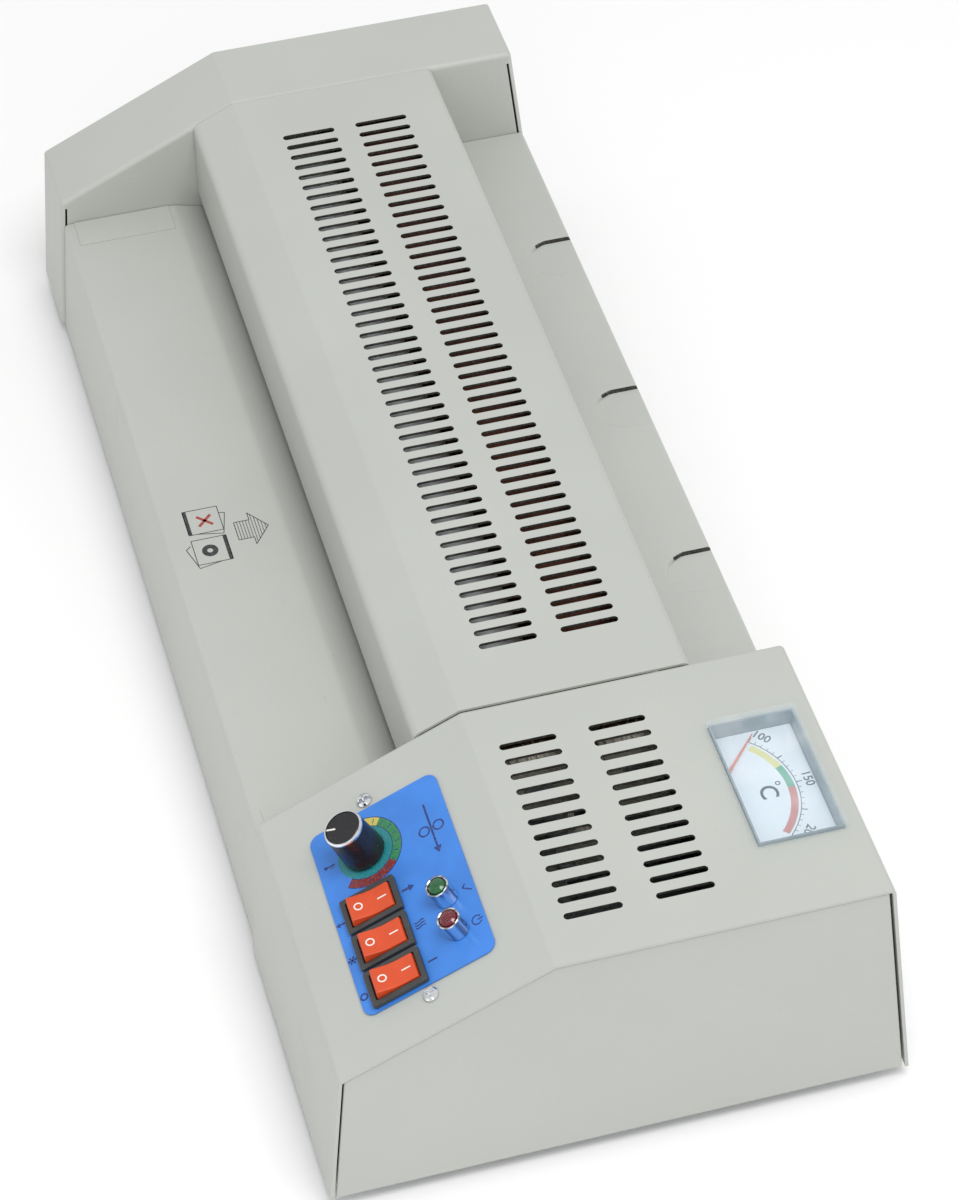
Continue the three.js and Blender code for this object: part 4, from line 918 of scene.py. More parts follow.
def graded(low, high, centres, half, fine, coarse):
    """Values from low to high, closely spaced within half of each centre."""
    marks = [low]
    for centre in centres:
        steps = round(2 * half / fine)
        marks += [centre - half + 2 * half * i / steps for i in range(steps + 1)]
    marks.append(high)
    out = []
    for a, b in zip(marks, marks[1:]):
        steps = max(1, ceil((b - a) / coarse)) if b - a > fine * 1.5 else 1
        out += [a + (b - a) * i / steps for i in range(steps)]
    return out + [high]


def clamped(value):
    return min(1.0, max(0.0, value))


def notch_drop(x, y, outer_y):
    """How far a thumb notch presses the tray down: a lanced slit on one side, a soft step on the other."""
    drop = 0.0
    for centre in NOTCH_XS:
        end_y = outer_y - NOTCH_REACH + NOTCH_R
        across = abs(x - centre)
        inside = NOTCH_R - (across if y > end_y else hypot(across, y - end_y))
        step = clamped(inside / NOTCH_EDGE)
        lean = clamped(0.5 - (x - centre) / (2 * NOTCH_R))
        slit = clamped((lean - 0.75) / 0.15) * (SLIT_EDGES[0] < inside < SLIT_EDGES[1])
        depth = NOTCH_DEPTH * (NOTCH_SHALLOW + (1 - NOTCH_SHALLOW) * lean)
        drop = max(drop, step * depth + slit * SLIT_DROP)
    return drop


def paint_slit_shade(made):
    """Paints the sheared sides of the notches near black, as painted shade in the slits."""
    for material in (FINISHES["enamel"], PAINTED_SHADE_EDGE):
        made.data.materials.append(material)
    for face in made.data.polygons:
        along = min((face.center.x - centre for centre in NOTCH_XS), key=abs) / NOTCH_R
        face.material_index = int(-1.2 < along < -0.8 and abs(face.normal.x) > 0.6)


def table_tabs():
    """The turned-in tabs of the end covers that lie on the feed table."""
    reach, rise, front, rear = 15 * MM, 0.4 * MM, 8 * MM, 15.5 * MM
    y0, y1 = TABLE_LOW.y + front, TABLE_HIGH.y - rear
    for name, x0, x1 in (("far", MID_X0 + GAP, MID_X0 + reach), ("control", MID_X1 - reach, MID_X1 - GAP)):
        tab = block((x0, y0, TABLE_HIGH.z - rise / 4), (x1, y1, TABLE_HIGH.z + rise), name + "_table_tab")
        settle(bevelled(tab, 0.15 * MM), "body", "enamel")


def tray_section(tray_z, outer_y):
    """The tray's flat, its outer fold and the rear wall, with close points where the notches are."""
    notches_y, half = outer_y - 12.4 * MM, 10.5 * MM
    flat = graded(TRAY_LOW.y, outer_y - TRAY_FOLD_R, [notches_y], half, FINE_STEP, 6 * MM)
    corner = filleted([(TRAY_LOW.y, tray_z), (outer_y, tray_z), (TRAY_HIGH.y, BASE_Z)], [TRAY_FOLD_R], 6)
    wall = [(rear_wall_y(z) - TRAY_SHY, z) for z in (tray_z - 3 * MM, tray_z - 6 * MM)]
    return [(y, tray_z) for y in flat] + corner[1:-1] + wall + [(TRAY_HIGH.y, BASE_Z)]


def exit_tray():
    """The exit tray and rear wall in one sheet, with three pressed thumb notches in its outer edge."""
    tray_z = TRAY_HIGH.z
    outer_y = rear_wall_y(tray_z) - TRAY_SHY
    section = tray_section(tray_z, outer_y)
    columns = graded(TRAY_LOW.x, TRAY_HIGH.x, NOTCH_XS, NOTCH_R + 1.4 * MM, FINE_STEP, 12 * MM)

    def skin(path, below):
        deep = tray_z - below
        return [(x, y, min(z, deep - notch_drop(x, y, outer_y))) for x in columns for y, z in path]

    outer, inner = skin(section, 0.0), skin(inset(section, SHEET), SHEET)
    made = doubled_sheet("exit_tray_sheet", outer, inner, len(section), [0, len(columns) - 1])
    paint_slit_shade(made)
    settle(made, "body", "enamel", stands_for=["exit_tray"], angle=50)


# ---- base and feet ----
SCREW_R = 2.7 * MM
PAN_SHEET = 1.5 * MM


def phillips_screw(name, radius=SCREW_R, height=1.6 * MM):
    """A pan-head screw with a cross recess, its head's seat at z 0."""
    dome_r = 3.4 * radius
    dome = arc(0, height - dome_r, dome_r, 90, 73.5, 6)
    profile = [(max(r, 0), z) for r, z in dome if r < 0.93 * radius]
    head = turned(name, profile + [(radius, height * 0.42), (radius, 0.0), (0.0, 0.0)], 32)
    arm, width = 0.62 * radius, 0.26 * radius
    cross = [stroke((-arm, 0), (arm, 0), width), stroke((0, -arm), (0, arm), width)]
    bars = [raised("bar", outline, height * 0.45, 2 * height) for outline in cross]
    return bevelled(carved(head, bars), 0.08 * MM, 1, 40)


def base_pan():
    """The pan with its two upturned walls, and the eight screws in its floor."""
    low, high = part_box("base_pan")
    rise = high.z - low.z
    rear_y = high.y - REAR_LEAN * rise / (TOP_Z - BASE_Z)
    front_y = low.y + FRONT_LEAN * rise / (TOP_Z - SLOPE_DROP - BASE_Z)
    path = filleted([(rear_y, high.z), (high.y, low.z), (low.y, low.z), (front_y, high.z)], [FOLD_R] * 2)
    made = bevelled(folded_sheet("base_pan_sheet", path, low.x, high.x, PAN_SHEET), 0.2 * MM)
    settle(made, "body", "zinc", stands_for=["base_pan"])
    screw = placed(phillips_screw("base_screws"), Matrix.Rotation(pi, 4, "X"))
    spans = {"Span_X": high.x - low.x - 24 * MM, "Span_Y": high.y - low.y - 22 * MM}
    screws = grown(screw, GRID, Count_X=4, Count_Y=2, Material=FINISHES["zinc"], **spans)
    settle(moved(screws, 0, (low.y + high.y) / 2, low.z), "body", "zinc")


def foot(node):
    """A rubber foot with a rounded rim, a raised ring on its sole and a recess for its screw."""
    low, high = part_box(node)
    r, h = (high.x - low.x) / 2, high.z
    rim, bore, bore_top = 0.8 * MM, 3.2 * MM, 3 * MM
    profile = [(0, h), (r, h), (r - 0.7 * MM, rim)]
    profile += [(r - 2 * rim + rim * cos(a), rim - rim * sin(a)) for a in (0.4, 0.8, 1.2, pi / 2)]
    profile += mm([(6.6, 0), (6.3, 0.35), (4.5, 0.35), (4.2, 0), (3.5, 0), (3.2, 0.3)])
    profile += [(bore, bore_top), (0, bore_top)]
    centre = (low + high) / 2
    made = moved(turned(node + "_rubber", profile, 48), centre.x, centre.y)
    settle(made, "body", "foot_rubber", stands_for=[node])
    screw = placed(phillips_screw(node + "_screw", 2.8 * MM, 1.2 * MM), Matrix.Rotation(pi, 4, "X"))
    settle(moved(screw, centre.x, centre.y, bore_top), "body", "zinc")


# ---- rollers ----
SLEEVE_LOW, SLEEVE_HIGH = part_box("hot_lower_sleeve")
SLEEVE_WALL = 3 * MM
JOURNAL_R = 5 * MM


def along_x(made, node):
    """Lays a piece built along Z on its side, from the node's low end along its axis."""
    low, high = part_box(node)
    start = Matrix.Translation((low.x, (low.y + high.y) / 2, (low.z + high.z) / 2))
    return placed(made, start @ Matrix.Rotation(pi / 2, 4, "Y"))


def smooth_roller(node, body, slot):
    """A roller's barrel with eased ends and its two journals."""
    low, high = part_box(node)
    r, journal, ease = (high.z - low.z) / 2, JOURNAL_R, 0.6 * MM
    length = high.x - low.x
    a, b = SLEEVE_LOW.x - low.x, SLEEVE_HIGH.x - low.x
    profile = [(0, 0), (journal - ease, 0), (journal, ease), (journal, a), (r - ease, a), (r, a + ease)]
    profile += [(r, b - ease), (r - ease, b), (journal, b), (journal, length - ease)]
    profile += [(journal - ease, length), (0, length)]
    settle(along_x(turned(node + "_barrel", profile, 72), node), body, slot, stands_for=[node])


def smooth_sleeve(node, body):
    """A rubber sleeve with eased ends."""
    low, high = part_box(node)
    r, ease = (high.z - low.z) / 2, 0.7 * MM
    bore, length = r - SLEEVE_WALL, high.x - low.x
    profile = [(bore, 0), (r - ease, 0), (r, ease), (r, length - ease), (r - ease, length), (bore, length)]
    made = along_x(turned(node + "_tube", profile, 72), node)
    settle(made, body, "roller_rubber", stands_for=[node])


# ---- control face ----
PANEL_BASE = 0.3 * MM
PANEL_TOP = 0.9 * MM
PANEL_W = PANEL_HIGH.x - PANEL_LOW.x
PANEL_DEPTH = 50.4 * MM
PANEL_EDGE_Y = -15.8 * MM


def panel_plate():
    """The blue overlay plate, with its eased rim and the holes that its controls pass through."""
    at = slope_place("panel_plate")
    outline = round_rect(at.x, at.y, PANEL_W, PANEL_DEPTH, 4 * MM, 12)
    plate = carved(raised("panel_overlay", outline, PANEL_BASE, PANEL_TOP), control_holes(-MM, 3 * MM))
    settle(placed(bevelled(plate, 0.14 * MM), ON_SLOPE), "body", "panel", stands_for=["panel_plate"])


def arrow(x, y, size, up):
    """A plain arrow along the feed direction."""
    tail, neck, tip = -0.5 * size, 0.08 * size, 0.5 * size
    thin, wide = 0.11 * size, 0.30 * size
    shape = [(-thin, tail), (thin, tail), (thin, neck), (wide, neck), (0, tip), (-wide, neck), (-thin, neck)]
    return [[(x + a, y + up * b) for a, b in shape][::up]]


def heat_sign(x, y, size):
    """Three rising waves."""
    out, steps = [], 12
    for i in (-1, 0, 1):
        middle_x, sway = x + i * 0.3 * size, 0.07 * size
        turns = [k / steps for k in range(steps + 1)]
        wave = [(middle_x + sway * sin(2 * pi * t), y + size * (t - 0.5)) for t in turns]
        out += polyline(wave, 0.13 * size)
    return out


def cold_sign(x, y, size):
    """A six-armed frost star."""
    out = []
    for k in range(3):
        a = radians(90 + 60 * k)
        dx, dy = cos(a) * size / 2, sin(a) * size / 2
        out.append(stroke((x - dx, y - dy), (x + dx, y + dy), 0.13 * size))
        for end in (-1, 1):
            for lean in (-40, 40):
                b = a + radians(lean) + (0 if end > 0 else pi)
                root_x, root_y = x + end * dx * 0.55, y + end * dy * 0.55
                tip = (root_x + 0.17 * size * cos(b), root_y + 0.17 * size * sin(b))
                out.append(stroke((root_x, root_y), tip, 0.11 * size))
    return out


def pouch_sign(x, y, size):
    """A sheet passing between two rollers."""
    r, neck = 0.2 * size, x + 0.75 * size
    out = full_ring(x, y + 1.25 * r, 0.72 * r, r) + full_ring(x, y - 1.25 * r, 0.72 * r, r)
    out.append(stroke((x - size, y), (neck, y), 0.07 * size))
    return out + [[(neck, y - 0.14 * size), (x + size, y), (neck, y + 0.14 * size)]]


def thermometer_sign(x, y, size):
    """A bulb, a stem and three marks."""
    stem = stroke((x, y - 0.3 * size), (x, y + 0.42 * size), 0.13 * size)
    out = [circle(x, y - 0.36 * size, 0.16 * size, 16), stem]
    for k in range(3):
        level = y + size * (0.02 + 0.17 * k)
        out.append(stroke((x + 0.13 * size, level), (x + 0.28 * size, level), 0.06 * size))
    return out


def power_sign(x, y, size):
    """A broken ring with a bar for the power lamp."""
    ring = [ring_sector(x, y, 0.36 * size, 0.48 * size, a, a + 150) for a in (120, 270)]
    return ring + [stroke((x, y + 0.05 * size), (x, y + 0.55 * size), 0.12 * size)]


def tick_sign(x, y, size):
    """A tick for the ready lamp."""
    bend = (x - 0.1 * size, y - 0.3 * size)
    return polyline([(x - 0.4 * size, y), bend, (x + 0.42 * size, y + 0.4 * size)], 0.13 * size)


def control_signs():
    """The generic signs beside the knob, the rockers and the lamps."""
    knob = slope_place("knob")
    direction, heat, power = (slope_place(name + "_switch_housing") for name in SWITCHES)
    above, below = direction.y + 13.6 * MM, direction.y - 12.9 * MM
    bar = 1.8 * MM
    signs = pouch_sign(CONTROL_X - PANEL_W / 2 + 22 * MM, PANEL_EDGE_Y - 7.5 * MM, 11 * MM)
    signs += thermometer_sign(knob.x - 2 * MM, knob.y - 13.4 * MM, 4.6 * MM)
    signs += arrow(direction.x, above, 4.8 * MM, 1) + arrow(direction.x, below, 3.4 * MM, -1)
    signs += heat_sign(heat.x, above, 3.9 * MM) + cold_sign(heat.x, below, 3.4 * MM)
    signs.append(stroke((power.x, above - bar), (power.x, above + bar), 0.7 * MM))
    signs += full_ring(power.x, below, 0.9 * MM, 1.55 * MM)
    ready, mains = slope_place("ready_lamp_bezel"), slope_place("power_lamp_bezel")
    signs += tick_sign(ready.x, ready.y + 7.4 * MM, 4.2 * MM)
    return signs + power_sign(mains.x, mains.y + 7.2 * MM, 4.2 * MM)


SCALE_INNER, SCALE_MID, SCALE_OUTER = 7 * MM, 10.4 * MM, 13.8 * MM
SCALE_ENDS = (-44, 222)
SCALE_LINE = 0.3 * MM


def panel_prints():
    """The signs and the coloured ring of marks round the knob."""
    at = slope_place("knob")
    x, y, mid = at.x, at.y, SCALE_MID + 0.2 * MM
    low, high = SCALE_ENDS
    bands = [(GREEN_INK, 44, 140), (YELLOW_INK, 140, high), (DARK_RED_INK, low, 44)]
    ring = [(colour, [ring_sector(x, y, mid, SCALE_OUTER, a, b)]) for colour, a, b in bands]
    teal = (TEAL_INK, full_ring(x, y, SCALE_INNER, SCALE_MID))
    edges = [ring_sector(x, y, SCALE_OUTER, SCALE_OUTER + 0.35 * MM, low, high)]
    edges.append(ring_sector(x, y, SCALE_MID - 0.05 * MM, SCALE_MID - 0.05 * MM + SCALE_LINE, low, high))
    spokes = []
    for k in range(16):
        a = radians(-40 + 17.2 * k)
        start, end = ((x + r * cos(a), y + r * sin(a)) for r in (mid + 0.8 * MM, SCALE_OUTER - 0.6 * MM))
        spokes.append(stroke(start, end, 0.28 * MM))
    groups = [(NAVY_INK, control_signs() + edges), teal] + ring
    printed("panel_signs", groups, ON_SLOPE, "body", "panel", PANEL_TOP)
    printed("knob_scale_marks", [(NAVY_INK, spokes)], ON_SLOPE, "body", "panel", PANEL_TOP + INK)


RING_TOP = 18 * MM
GRIP_R, CROWN_R = 7.9 * MM, 7.05 * MM
KNOB_BASE = 1.5 * MM
SHAFT_R, SPINDLE_R = 4.2 * MM, 2.6 * MM


def knob():
    """A tapered black knob with a polished ring let into its top edge and a white line for a pointer."""
    at = slope_place("knob")
    place = ON_SLOPE @ Matrix.Translation((at.x, at.y, 0))
    shoulder = RING_TOP - 1.3 * MM
    seat = CROWN_R - 0.8 * MM
    ledge, roof = KNOB_BASE + 4 * MM, RING_TOP - 3.6 * MM
    grip = [
        (SHAFT_R, KNOB_BASE), (GRIP_R - 0.4 * MM, KNOB_BASE), (GRIP_R, KNOB_BASE + 0.4 * MM),
        (GRIP_R - 0.02 * MM, KNOB_BASE + 1.1 * MM), (CROWN_R + 0.08 * MM, shoulder - 0.2 * MM),
        (CROWN_R, shoulder), (seat, shoulder), (seat, RING_TOP - 0.25 * MM),
        (seat - 0.3 * MM, RING_TOP - 0.05 * MM), (seat - 1.2 * MM, RING_TOP - 0.12 * MM),
        (0, RING_TOP - 0.2 * MM), (0, roof), (SPINDLE_R, roof), (SPINDLE_R, ledge), (SHAFT_R, ledge),
    ]
    made = placed(turned("knob_grip", grip, 96), place)
    settle(made, "knob", "black_plastic", stands_for=["knob"])
    ring = [
        (seat + 0.1 * MM, shoulder + 0.1 * MM), (CROWN_R + 0.06 * MM, shoulder + 0.1 * MM),
        (CROWN_R + 0.1 * MM, shoulder + 0.5 * MM), (CROWN_R, RING_TOP - 0.25 * MM),
        (CROWN_R - 0.25 * MM, RING_TOP + 0.08 * MM), (seat + 0.2 * MM, RING_TOP + 0.06 * MM),
        (seat + 0.1 * MM, RING_TOP - 0.1 * MM),
    ]
    bright = placed(turned("knob_bright_ring", ring, 96), place)
    settle(bright, "knob", "chrome", POLISHED, ["knob_ring"], 50)
    pointer = raised("knob_pointer", round_rect(4.4 * MM, 0, 3.4 * MM, 0.6 * MM, 0.25 * MM, 3), 0, 0.22 * MM)
    turn = Matrix.Translation((0, 0, RING_TOP - 0.14 * MM)) @ Matrix.Rotation(radians(248), 4, "Z")
    settle(placed(pointer, place @ turn), "knob", "black_plastic", WHITE_INK)


LAMP_R, LAMP_TOP = 4.2 * MM, 9.2 * MM
STEM_R, STEM_Z = 3 * MM, -9 * MM


def lamp(name, slot):
    """A bright tubular bezel with a rolled rim, and a faceted dome lens."""
    at = slope_place(name + "_lamp_bezel")
    place = ON_SLOPE @ Matrix.Translation((at.x, at.y, 0))
    foot_z, r, top = 1.2 * MM, LAMP_R, LAMP_TOP
    mouth, cup_z = r - 0.8 * MM, top - 3 * MM
    bezel = [(STEM_R, STEM_Z), (STEM_R, foot_z), (r, foot_z), (r, top - 0.5 * MM)]
    bezel += [(r - 0.15 * MM, top - 0.12 * MM), (r - 0.45 * MM, top), (r - 0.75 * MM, top - 0.2 * MM)]
    bezel += [(mouth, cup_z), (0, cup_z), (0, STEM_Z)]
    made = placed(turned(name + "_lamp_tube", bezel, 64), place)
    settle(made, "body", "chrome", stands_for=[name + "_lamp_bezel"], angle=50)
    lens_r, rise, seat_z = mouth - 0.08 * MM, 1.7 * MM, cup_z + 0.2 * MM
    crown = [(lens_r * cos(a), top - 0.7 * MM + rise * sin(a)) for a in (0.0, 0.45, 0.85, 1.2)]
    profile = [(0, seat_z), (lens_r, seat_z)] + crown + [(0, top + 0.98 * MM)]
    glass = placed(turned(name + "_lamp_dome", profile, 14), place)
    settle(glass, "body", slot, stands_for=[name + "_lamp_lens"], angle=8)


def panel_screw(node):
    at = slope_place(node)
    seat = ON_SLOPE @ Matrix.Translation((at.x, at.y, 0.25 * MM))
    settle(placed(phillips_screw(node + "_head"), seat), "body", "chrome", stands_for=[node])


BEZEL_TOP = 3.2 * MM
BEZEL_SIZE = (14.8 * MM, 21 * MM)
SHELL_SIZE = (12.2 * MM, 17.9 * MM)
HOLLOW_SIZE = (10.9 * MM, 17.1 * MM)
ROCKER_REACH, ROCKER_HALF = 8.2 * MM, 5.1 * MM
ROCKER_PITCH = 9
PIVOT_Z = 1.5 * MM


def switch(name):
    """A snap-in rocker switch: a bezel with a stepped opening, and its rocker."""
    node = name + "_switch_housing"
    at = slope_place(node)
    place = ON_SLOPE @ Matrix.Translation((at.x, at.y, 0))
    rim = raised(name + "_switch_bezel", round_rect(0, 0, *BEZEL_SIZE, 0.7 * MM, 4), 1.2 * MM, BEZEL_TOP)
    shell = raised("shell", round_rect(0, 0, *SHELL_SIZE, 0.4 * MM, 2), -7 * MM, 1.25 * MM)
    hollow = raised("hollow", round_rect(0, 0, *HOLLOW_SIZE, 0.4 * MM, 3), -5.4 * MM, 5 * MM)
    rim = bevelled(carved(carved(rim, [shell], "UNION"), [hollow]), 0.28 * MM, 3)
    settle(placed(rim, place), "body", "bezel", stands_for=[node])
    pivot = Matrix.Translation((0, 0, PIVOT_Z))
    rocker(name, place @ pivot @ Matrix.Rotation(radians(-ROCKER_PITCH), 4, "X"))


def rocker(name, seat):
    """An orange rocker with two faces that meet in a rounded valley, and its moulded ring and bar."""
    pitch = radians(ROCKER_PITCH)
    angles = [radians(a) for a in (25, 18, 9, 0, -12, -28)]
    right = [(ROCKER_REACH * cos(a), ROCKER_REACH * sin(a)) for a in angles]
    left = [(-y, z) for y, z in right[::-1]]
    edge_y, edge_z = right[0]
    valley = edge_z - edge_y * tan(pitch)
    dip = [(edge_y * k / 6, valley + abs(k / 6) * (edge_z - valley)) for k in range(-5, 6)]
    dip = [(y, z + 0.25 * MM * max(0, 1 - abs(y) / (1.6 * MM)) ** 2) for y, z in dip]
    body = bevelled(swept(name + "_rocker_cap", right + left + dip, -ROCKER_HALF, ROCKER_HALF), 0.35 * MM, 3)
    settle(placed(body, seat), name + "_rocker", "rocker", stands_for=[name + "_rocker"])
    ring = full_ring(0, 0, 1.1 * MM, 1.6 * MM)
    bar = [stroke((0, -1.7 * MM), (0, 1.7 * MM), 0.5 * MM)]
    marks = []
    for side, outlines in ((-1, ring), (1, bar)):
        y = 4.3 * MM
        z = valley + y / edge_y * (edge_z - valley)
        tilt = Matrix.Translation((0, side * y, z)) @ Matrix.Rotation(side * pitch, 4, "X")
        marks += [placed(raised("mark", outline, -0.05 * MM, 0.06 * MM), tilt) for outline in outlines]
    made = placed(merged(name + "_rocker_marks", marks), seat)
    settle(made, name + "_rocker", "rocker", WHITE_INK)


# ---- thermometer ----
METER_MID = (METER_LOW + METER_HIGH) / 2
METER_SIZE = METER_HIGH - METER_LOW
DIAL_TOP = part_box("meter_dial")[1].z
NEEDLE_PIVOT = next(Vector(j["pos_m"]) for j in frame["joints"] if j["name"] == "needle_swing")
NEEDLE_REST = 138
NEEDLE_LENGTH = 33.4 * MM
NEEDLE_TAIL = 5 * MM
HUB_R = 1.2 * MM


def meter_outline(inward, corner):
    """The window's outline drawn in by a distance."""
    width, depth = METER_SIZE.x - 2 * inward, METER_SIZE.y - 2 * inward
    return round_rect(METER_MID.x, METER_MID.y, width, depth, corner, 4)


def meter_case():
    """The case below the cover and the neck that stands up inside the window."""
    case_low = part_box("meter_case")[0]
    neck_in, well_in = METER_RIM + 0.1 * MM, METER_RIM + 0.8 * MM
    wall, under = 1.5 * MM, TOP_Z - SHEET - GAP
    neck = raised("meter_housing", meter_outline(neck_in, 0.5 * MM), case_low.z + 6 * MM, METER_LOW.z)
    low = Vector((METER_LOW.x + neck_in, case_low.y, case_low.z))
    tub = block(low, (METER_HIGH.x - neck_in, METER_HIGH.y - neck_in, under), "tub")
    made = carved(neck, [tub], "UNION")
    floor_z = DIAL_TOP - 1.6 * MM
    well = raised("well", meter_outline(well_in, 0.4 * MM), floor_z, TOP_Z + 5 * MM)
    low = Vector((METER_LOW.x + well_in, case_low.y + wall, floor_z))
    pocket = block(low, (METER_HIGH.x - well_in, METER_HIGH.y - well_in, under - 1.2 * MM), "pocket")
    made = bevelled(carved(made, [well, pocket]), 0.15 * MM)
    # The case's pale blue grey is painted light seen through the window.
    settle(made, "body", "black_plastic", METER_CASE_PAINTED_LIGHT, ["meter_case"])


def meter_window():
    """A clear lid with rounded top edges whose thin wall stands on the cover."""
    lid = raised("meter_lid", meter_outline(0, 0.9 * MM), TOP_Z + 0.05 * MM, METER_HIGH.z)
    inside = raised("inside", meter_outline(METER_RIM, 0.5 * MM), TOP_Z - MM, METER_HIGH.z - MM)
    settle(bevelled(carved(lid, [inside]), 0.3 * MM, 3), "body", "window", stands_for=["meter_window"])


BAND_INNER, BAND_OUTER = 26.7 * MM, 29.3 * MM
SCALE_R = 30.4 * MM
HOT_END = 44.5
NUMBER_R = 34.6 * MM


def dial_ticks(step, count, length, width, name):
    tick = raised(name, stroke((SCALE_R, 0), (SCALE_R + length, 0), width), -INK / 4, INK)
    turns = {"Count": count, "Start": radians(HOT_END), "Step": radians(step)}
    ticks = grown(tick, FAN, Material=GREY_INK, **turns)
    settle(moved(ticks, NEEDLE_PIVOT.x, NEEDLE_PIVOT.y, DIAL_TOP), "body", "dial", GREY_INK)


def meter_dial():
    """The dial card with its coloured bands and its scale."""
    low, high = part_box("meter_dial")
    edge = METER_RIM + 0.9 * MM
    card_low = Vector((METER_LOW.x + edge, low.y, low.z))
    card = block(card_low, (METER_HIGH.x - edge, METER_HIGH.y - edge, high.z), "dial_card")
    settle(bevelled(card, 0.1 * MM, 1), "body", "dial", stands_for=["meter_dial"])
    x, y = NEEDLE_PIVOT.x, NEEDLE_PIVOT.y
    bands = [(PALE_YELLOW_INK, 108.5, 135), (PALE_GREEN_INK, 88, 108.5), (PALE_RED_INK, HOT_END, 88)]
    groups = [(colour, [ring_sector(x, y, BAND_INNER, BAND_OUTER, a, b)]) for colour, a, b in bands]
    groups.append((GREY_INK, [ring_sector(x, y, SCALE_R - SCALE_LINE, SCALE_R, HOT_END, NEEDLE_REST)]))
    printed("dial_bands", groups, Matrix.Translation((0, 0, DIAL_TOP)), "body", "dial")
    dial_ticks(4.7, 20, 1.1 * MM, 0.2 * MM, "dial_short_ticks")
    dial_ticks(23.375, 5, 2 * MM, 0.34 * MM, "dial_long_ticks")


def dial_numbers():
    """The numbers round the scale and the degree sign in the middle."""
    x, y = NEEDLE_PIVOT.x, NEEDLE_PIVOT.y
    signs = []
    for text, angle in (("100", 133), ("150", 92), ("200", 51)):
        a = radians(angle)
        place = (x + NUMBER_R * cos(a), y + NUMBER_R * sin(a))
        signs.append(numeral(text, 4.6 * MM, *place, angle - 90, DIAL_TOP, GREY_INK))
    signs.append(numeral("C", 9 * MM, x + 1.2 * MM, y + 19.5 * MM, 0, DIAL_TOP, GREY_INK))
    for outline in full_ring(x - 1.9 * MM, y + 24 * MM, 0.55 * MM, 0.95 * MM):
        half = raised("degree", outline, DIAL_TOP - INK / 4, DIAL_TOP + INK)
        half.data.materials.append(GREY_INK)
        signs.append(half)
    settle(merged("dial_numbers", signs), "body", "dial")


def meter_needle():
    """A thin tapered needle with a tail and a domed hub."""
    low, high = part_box("meter_needle")
    z = high.z - 0.7 * MM
    side = [(-NEEDLE_TAIL, 0.7 * MM), (0, 0.75 * MM), (NEEDLE_LENGTH, 0.22 * MM)]
    blade = [(x, -y) for x, y in side] + side[::-1]
    body = bevelled(raised("needle_blade", blade, z, z + 0.45 * MM), 0.08 * MM, 1)
    placed(body, Matrix.Rotation(radians(NEEDLE_REST), 4, "Z"))
    hub = [(0, low.z), (HUB_R, low.z), (HUB_R, high.z - 0.2 * MM), (0.7 * MM, high.z), (0, high.z)]
    made = moved(merged("needle", [body, turned("hub", hub, 24)]), NEEDLE_PIVOT.x, NEEDLE_PIVOT.y)
    settle(made, "needle", "needle_paint", stands_for=["meter_needle"])


# ---- pictures on the feed table ----
PICTURE_LINE = 0.32 * MM


def sheet_picture(x0, x1, bar_y, back):
    """A sheet with a dark bar near one end, and another sheet's corners showing behind it."""
    y0, y1 = -89.3, -75.8
    lines = polyline(mm([(x0, y0), (x1, y0), (x1, y1), (x0, y1), (x0, y0)]), PICTURE_LINE)
    lines.append(stroke(*mm([(x0, bar_y), (x1, bar_y)]), 1.5 * MM))
    return lines + polyline(mm(back), PICTURE_LINE)


def feed_arrow(centre):
    """An arrow into the mouth, ruled with fine lines."""
    tip, neck, tail, half, shaft = -59, -65.5, -71.5, 8.6, 4.8
    right = [(shaft, tail), (shaft, neck), (half, neck)]
    outline = [(-shaft, tail)] + right + [(0, tip)] + [(-x, y) for x, y in right[::-1]]
    lines = polyline(mm([(centre + x, y) for x, y in outline]), PICTURE_LINE)
    rows = 11
    for k in range(1, rows):
        y = tail + (tip - tail) * k / rows
        reach = shaft if y < neck else half * (tip - y) / (tip - neck)
        lines.append(stroke(*mm([(centre - reach, y), (centre + reach, y)]), 0.24 * MM))
    return lines


def table_marks():
    """Sheet pictures: the wrong end first with a cross, the right end first with a ring, and a feed arrow."""
    black = sheet_picture(-36.7, -23.7, -88.7, [(-33, -75.8), (-32.4, -73.6), (-21.6, -76.2), (-23.7, -86)])
    black += sheet_picture(-20.6, -7.4, -76.4, [(-18, -90), (-16.4, -92), (-5.6, -89), (-7.4, -80)])
    black += full_ring(-14 * MM, -83.3 * MM, 1.1 * MM, 3.1 * MM) + feed_arrow(-21.2)
    x, y, arm = -30.2, -81.8, 2.7
    ends = [mm([(x - arm, y - side * arm), (x + arm, y + side * arm)]) for side in (1, -1)]
    red = [stroke(start, end, 1.2 * MM) for start, end in ends]
    place = Matrix.Translation((0, 0, TABLE_HIGH.z))
    printed("feed_pictures", [(BLACK_INK, black), (RED_INK, red)], place, "body", "enamel")


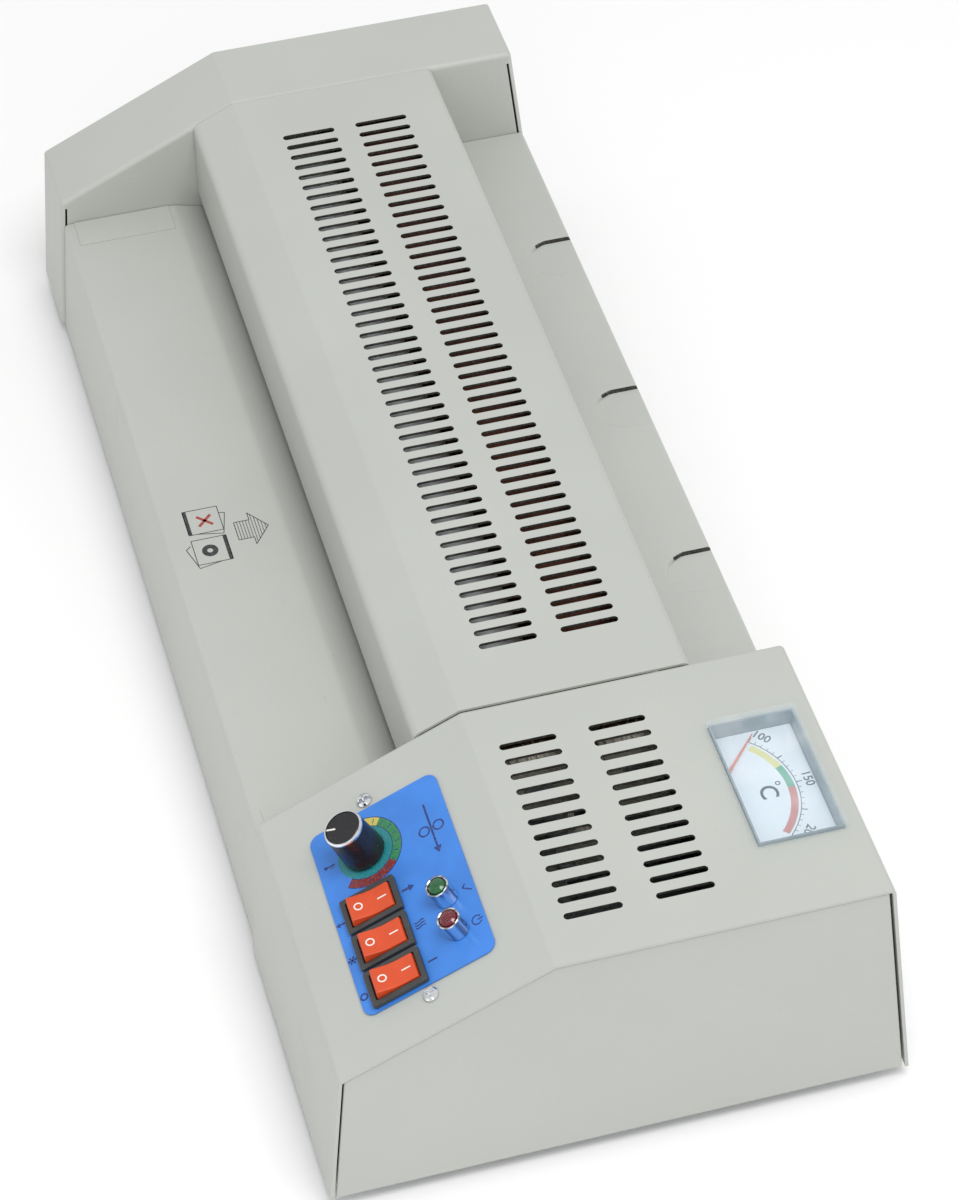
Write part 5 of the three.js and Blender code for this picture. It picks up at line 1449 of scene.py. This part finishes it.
# ---- the cord gland ----
def cord_gland():
    """A hexagonal gland with a domed nut and an empty bore."""
    centre = middle("cord_gland")
    lean = atan2(REAR_LEAN, TOP_Z - BASE_Z)
    wall_y = rear_wall_y(centre.z)
    height = (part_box("cord_gland")[1].y - wall_y) / cos(lean)
    nut = bevelled(raised("gland_nut", circle(0, 0, 9 * MM, 6), 0.3 * MM, 3 * MM), 0.5 * MM, 3, 30)
    dome = mm([(2, -9), (5.9, -9), (5.9, 2.9), (7, 2.9), (7, 3.3)])
    dome += [(6.4 * MM, height - 1.2 * MM), (5.6 * MM, height - 0.3 * MM), (4.6 * MM, height)]
    dome += [(2.5 * MM, height), (2 * MM, height - 0.6 * MM)]
    made = merged("gland_body", [nut, turned("dome", dome, 48)])
    facing = Matrix.Translation((centre.x, wall_y, centre.z)) @ Matrix.Rotation(-pi / 2 + lean, 4, "X")
    settle(placed(made, facing), "body", "black_plastic", stands_for=["cord_gland"])


# ---- inner parts that keep their shape ----
def dress_inner_parts():
    for part in frame["record"]["subparts"]:
        materials = frame["nodes"][part["node"]].data.materials
        materials.clear()
        materials.append(FINISHES[part["material_slot"]])


# ---- stage, light and camera ----
CAMERA_PLACE = (1.00838, -0.25532, 1.09886)
CAMERA_TILT, CAMERA_ROLL, CAMERA_AZIMUTH = 43.9997, -0.622, 74.8283
CAMERA_LENS = 116.28
DAYLIGHT = 0.73
LIGHT_TARGET = (0, 0, 0.05)
FLOOR_HALF = 6


def camera():
    data = bpy.data.cameras.new("camera")
    data.lens, data.sensor_width, data.sensor_fit = CAMERA_LENS, 36, "AUTO"
    data.clip_start, data.clip_end = 0.05, 20
    made = added("camera", data)
    turns = ((CAMERA_AZIMUTH, "Z"), (CAMERA_TILT, "X"), (CAMERA_ROLL, "Z"))
    azimuth, tilt, roll = (Matrix.Rotation(radians(angle), 4, axis) for angle, axis in turns)
    made.matrix_world = Matrix.Translation(CAMERA_PLACE) @ azimuth @ tilt @ roll
    bpy.context.scene.camera = made


def area_light(name, place, size, power):
    """A round soft light aimed at the machine."""
    data = bpy.data.lights.new(name, "AREA")
    data.shape, data.size, data.energy = "DISK", size, power
    made = added(name, data)
    made.location = place
    aim = Vector(LIGHT_TARGET) - Vector(place)
    made.rotation_euler = aim.to_track_quat("-Z", "Y").to_euler()


def floor():
    f = Finish("pale floor")
    cloud = f.noise(0.4, 2)
    colour = cloud.pick((0.95, 0.95, 0.95, 1), (0.97, 0.97, 0.97, 1))
    h = FLOOR_HALF
    made = piece("floor", [(-h, -h, 0), (h, -h, 0), (h, h, 0), (-h, h, 0)], [(0, 1, 2, 3)])
    made.data.materials.append(f.surface(colour, 0.8 + 0.1 * cloud))


def studio():
    floor()
    world = bpy.data.worlds.new("studio")
    world.use_nodes = True
    background = world.node_tree.nodes["Background"].inputs
    background["Color"].default_value = (1.0, 1.0, 1.0, 1)
    background["Strength"].default_value = DAYLIGHT
    bpy.context.scene.world = world
    area_light("overhead", (0.6, 0.1, 1.7), 0.9, 13)
    area_light("side fill", (1.5, -0.5, 1.0), 1.0, 2.6)
    bpy.context.scene.view_settings.view_transform = "Standard"


dress_inner_parts()
camera()
studio()
top_cover()
far_cover()
control_cover()
end_plate("control_end_plate")
end_plate("far_end_plate")
feed_table()
table_tabs()
exit_tray()
table_marks()
base_pan()
for corner in ("front_far", "front_control", "rear_far", "rear_control"):
    foot("foot_" + corner)
smooth_roller("hot_upper_roller", "hot_upper", "steel")
for roller in ("hot_lower", "pull_upper", "pull_lower"):
    smooth_sleeve(roller + "_sleeve", roller)
panel_plate()
panel_prints()
knob()
lamp("ready", "green_lens")
lamp("power", "red_lens")
panel_screw("panel_screw_left")
panel_screw("panel_screw_right")
for switch_name in SWITCHES:
    switch(switch_name)
meter_case()
meter_dial()
dial_numbers()
meter_needle()
meter_window()
cord_gland()
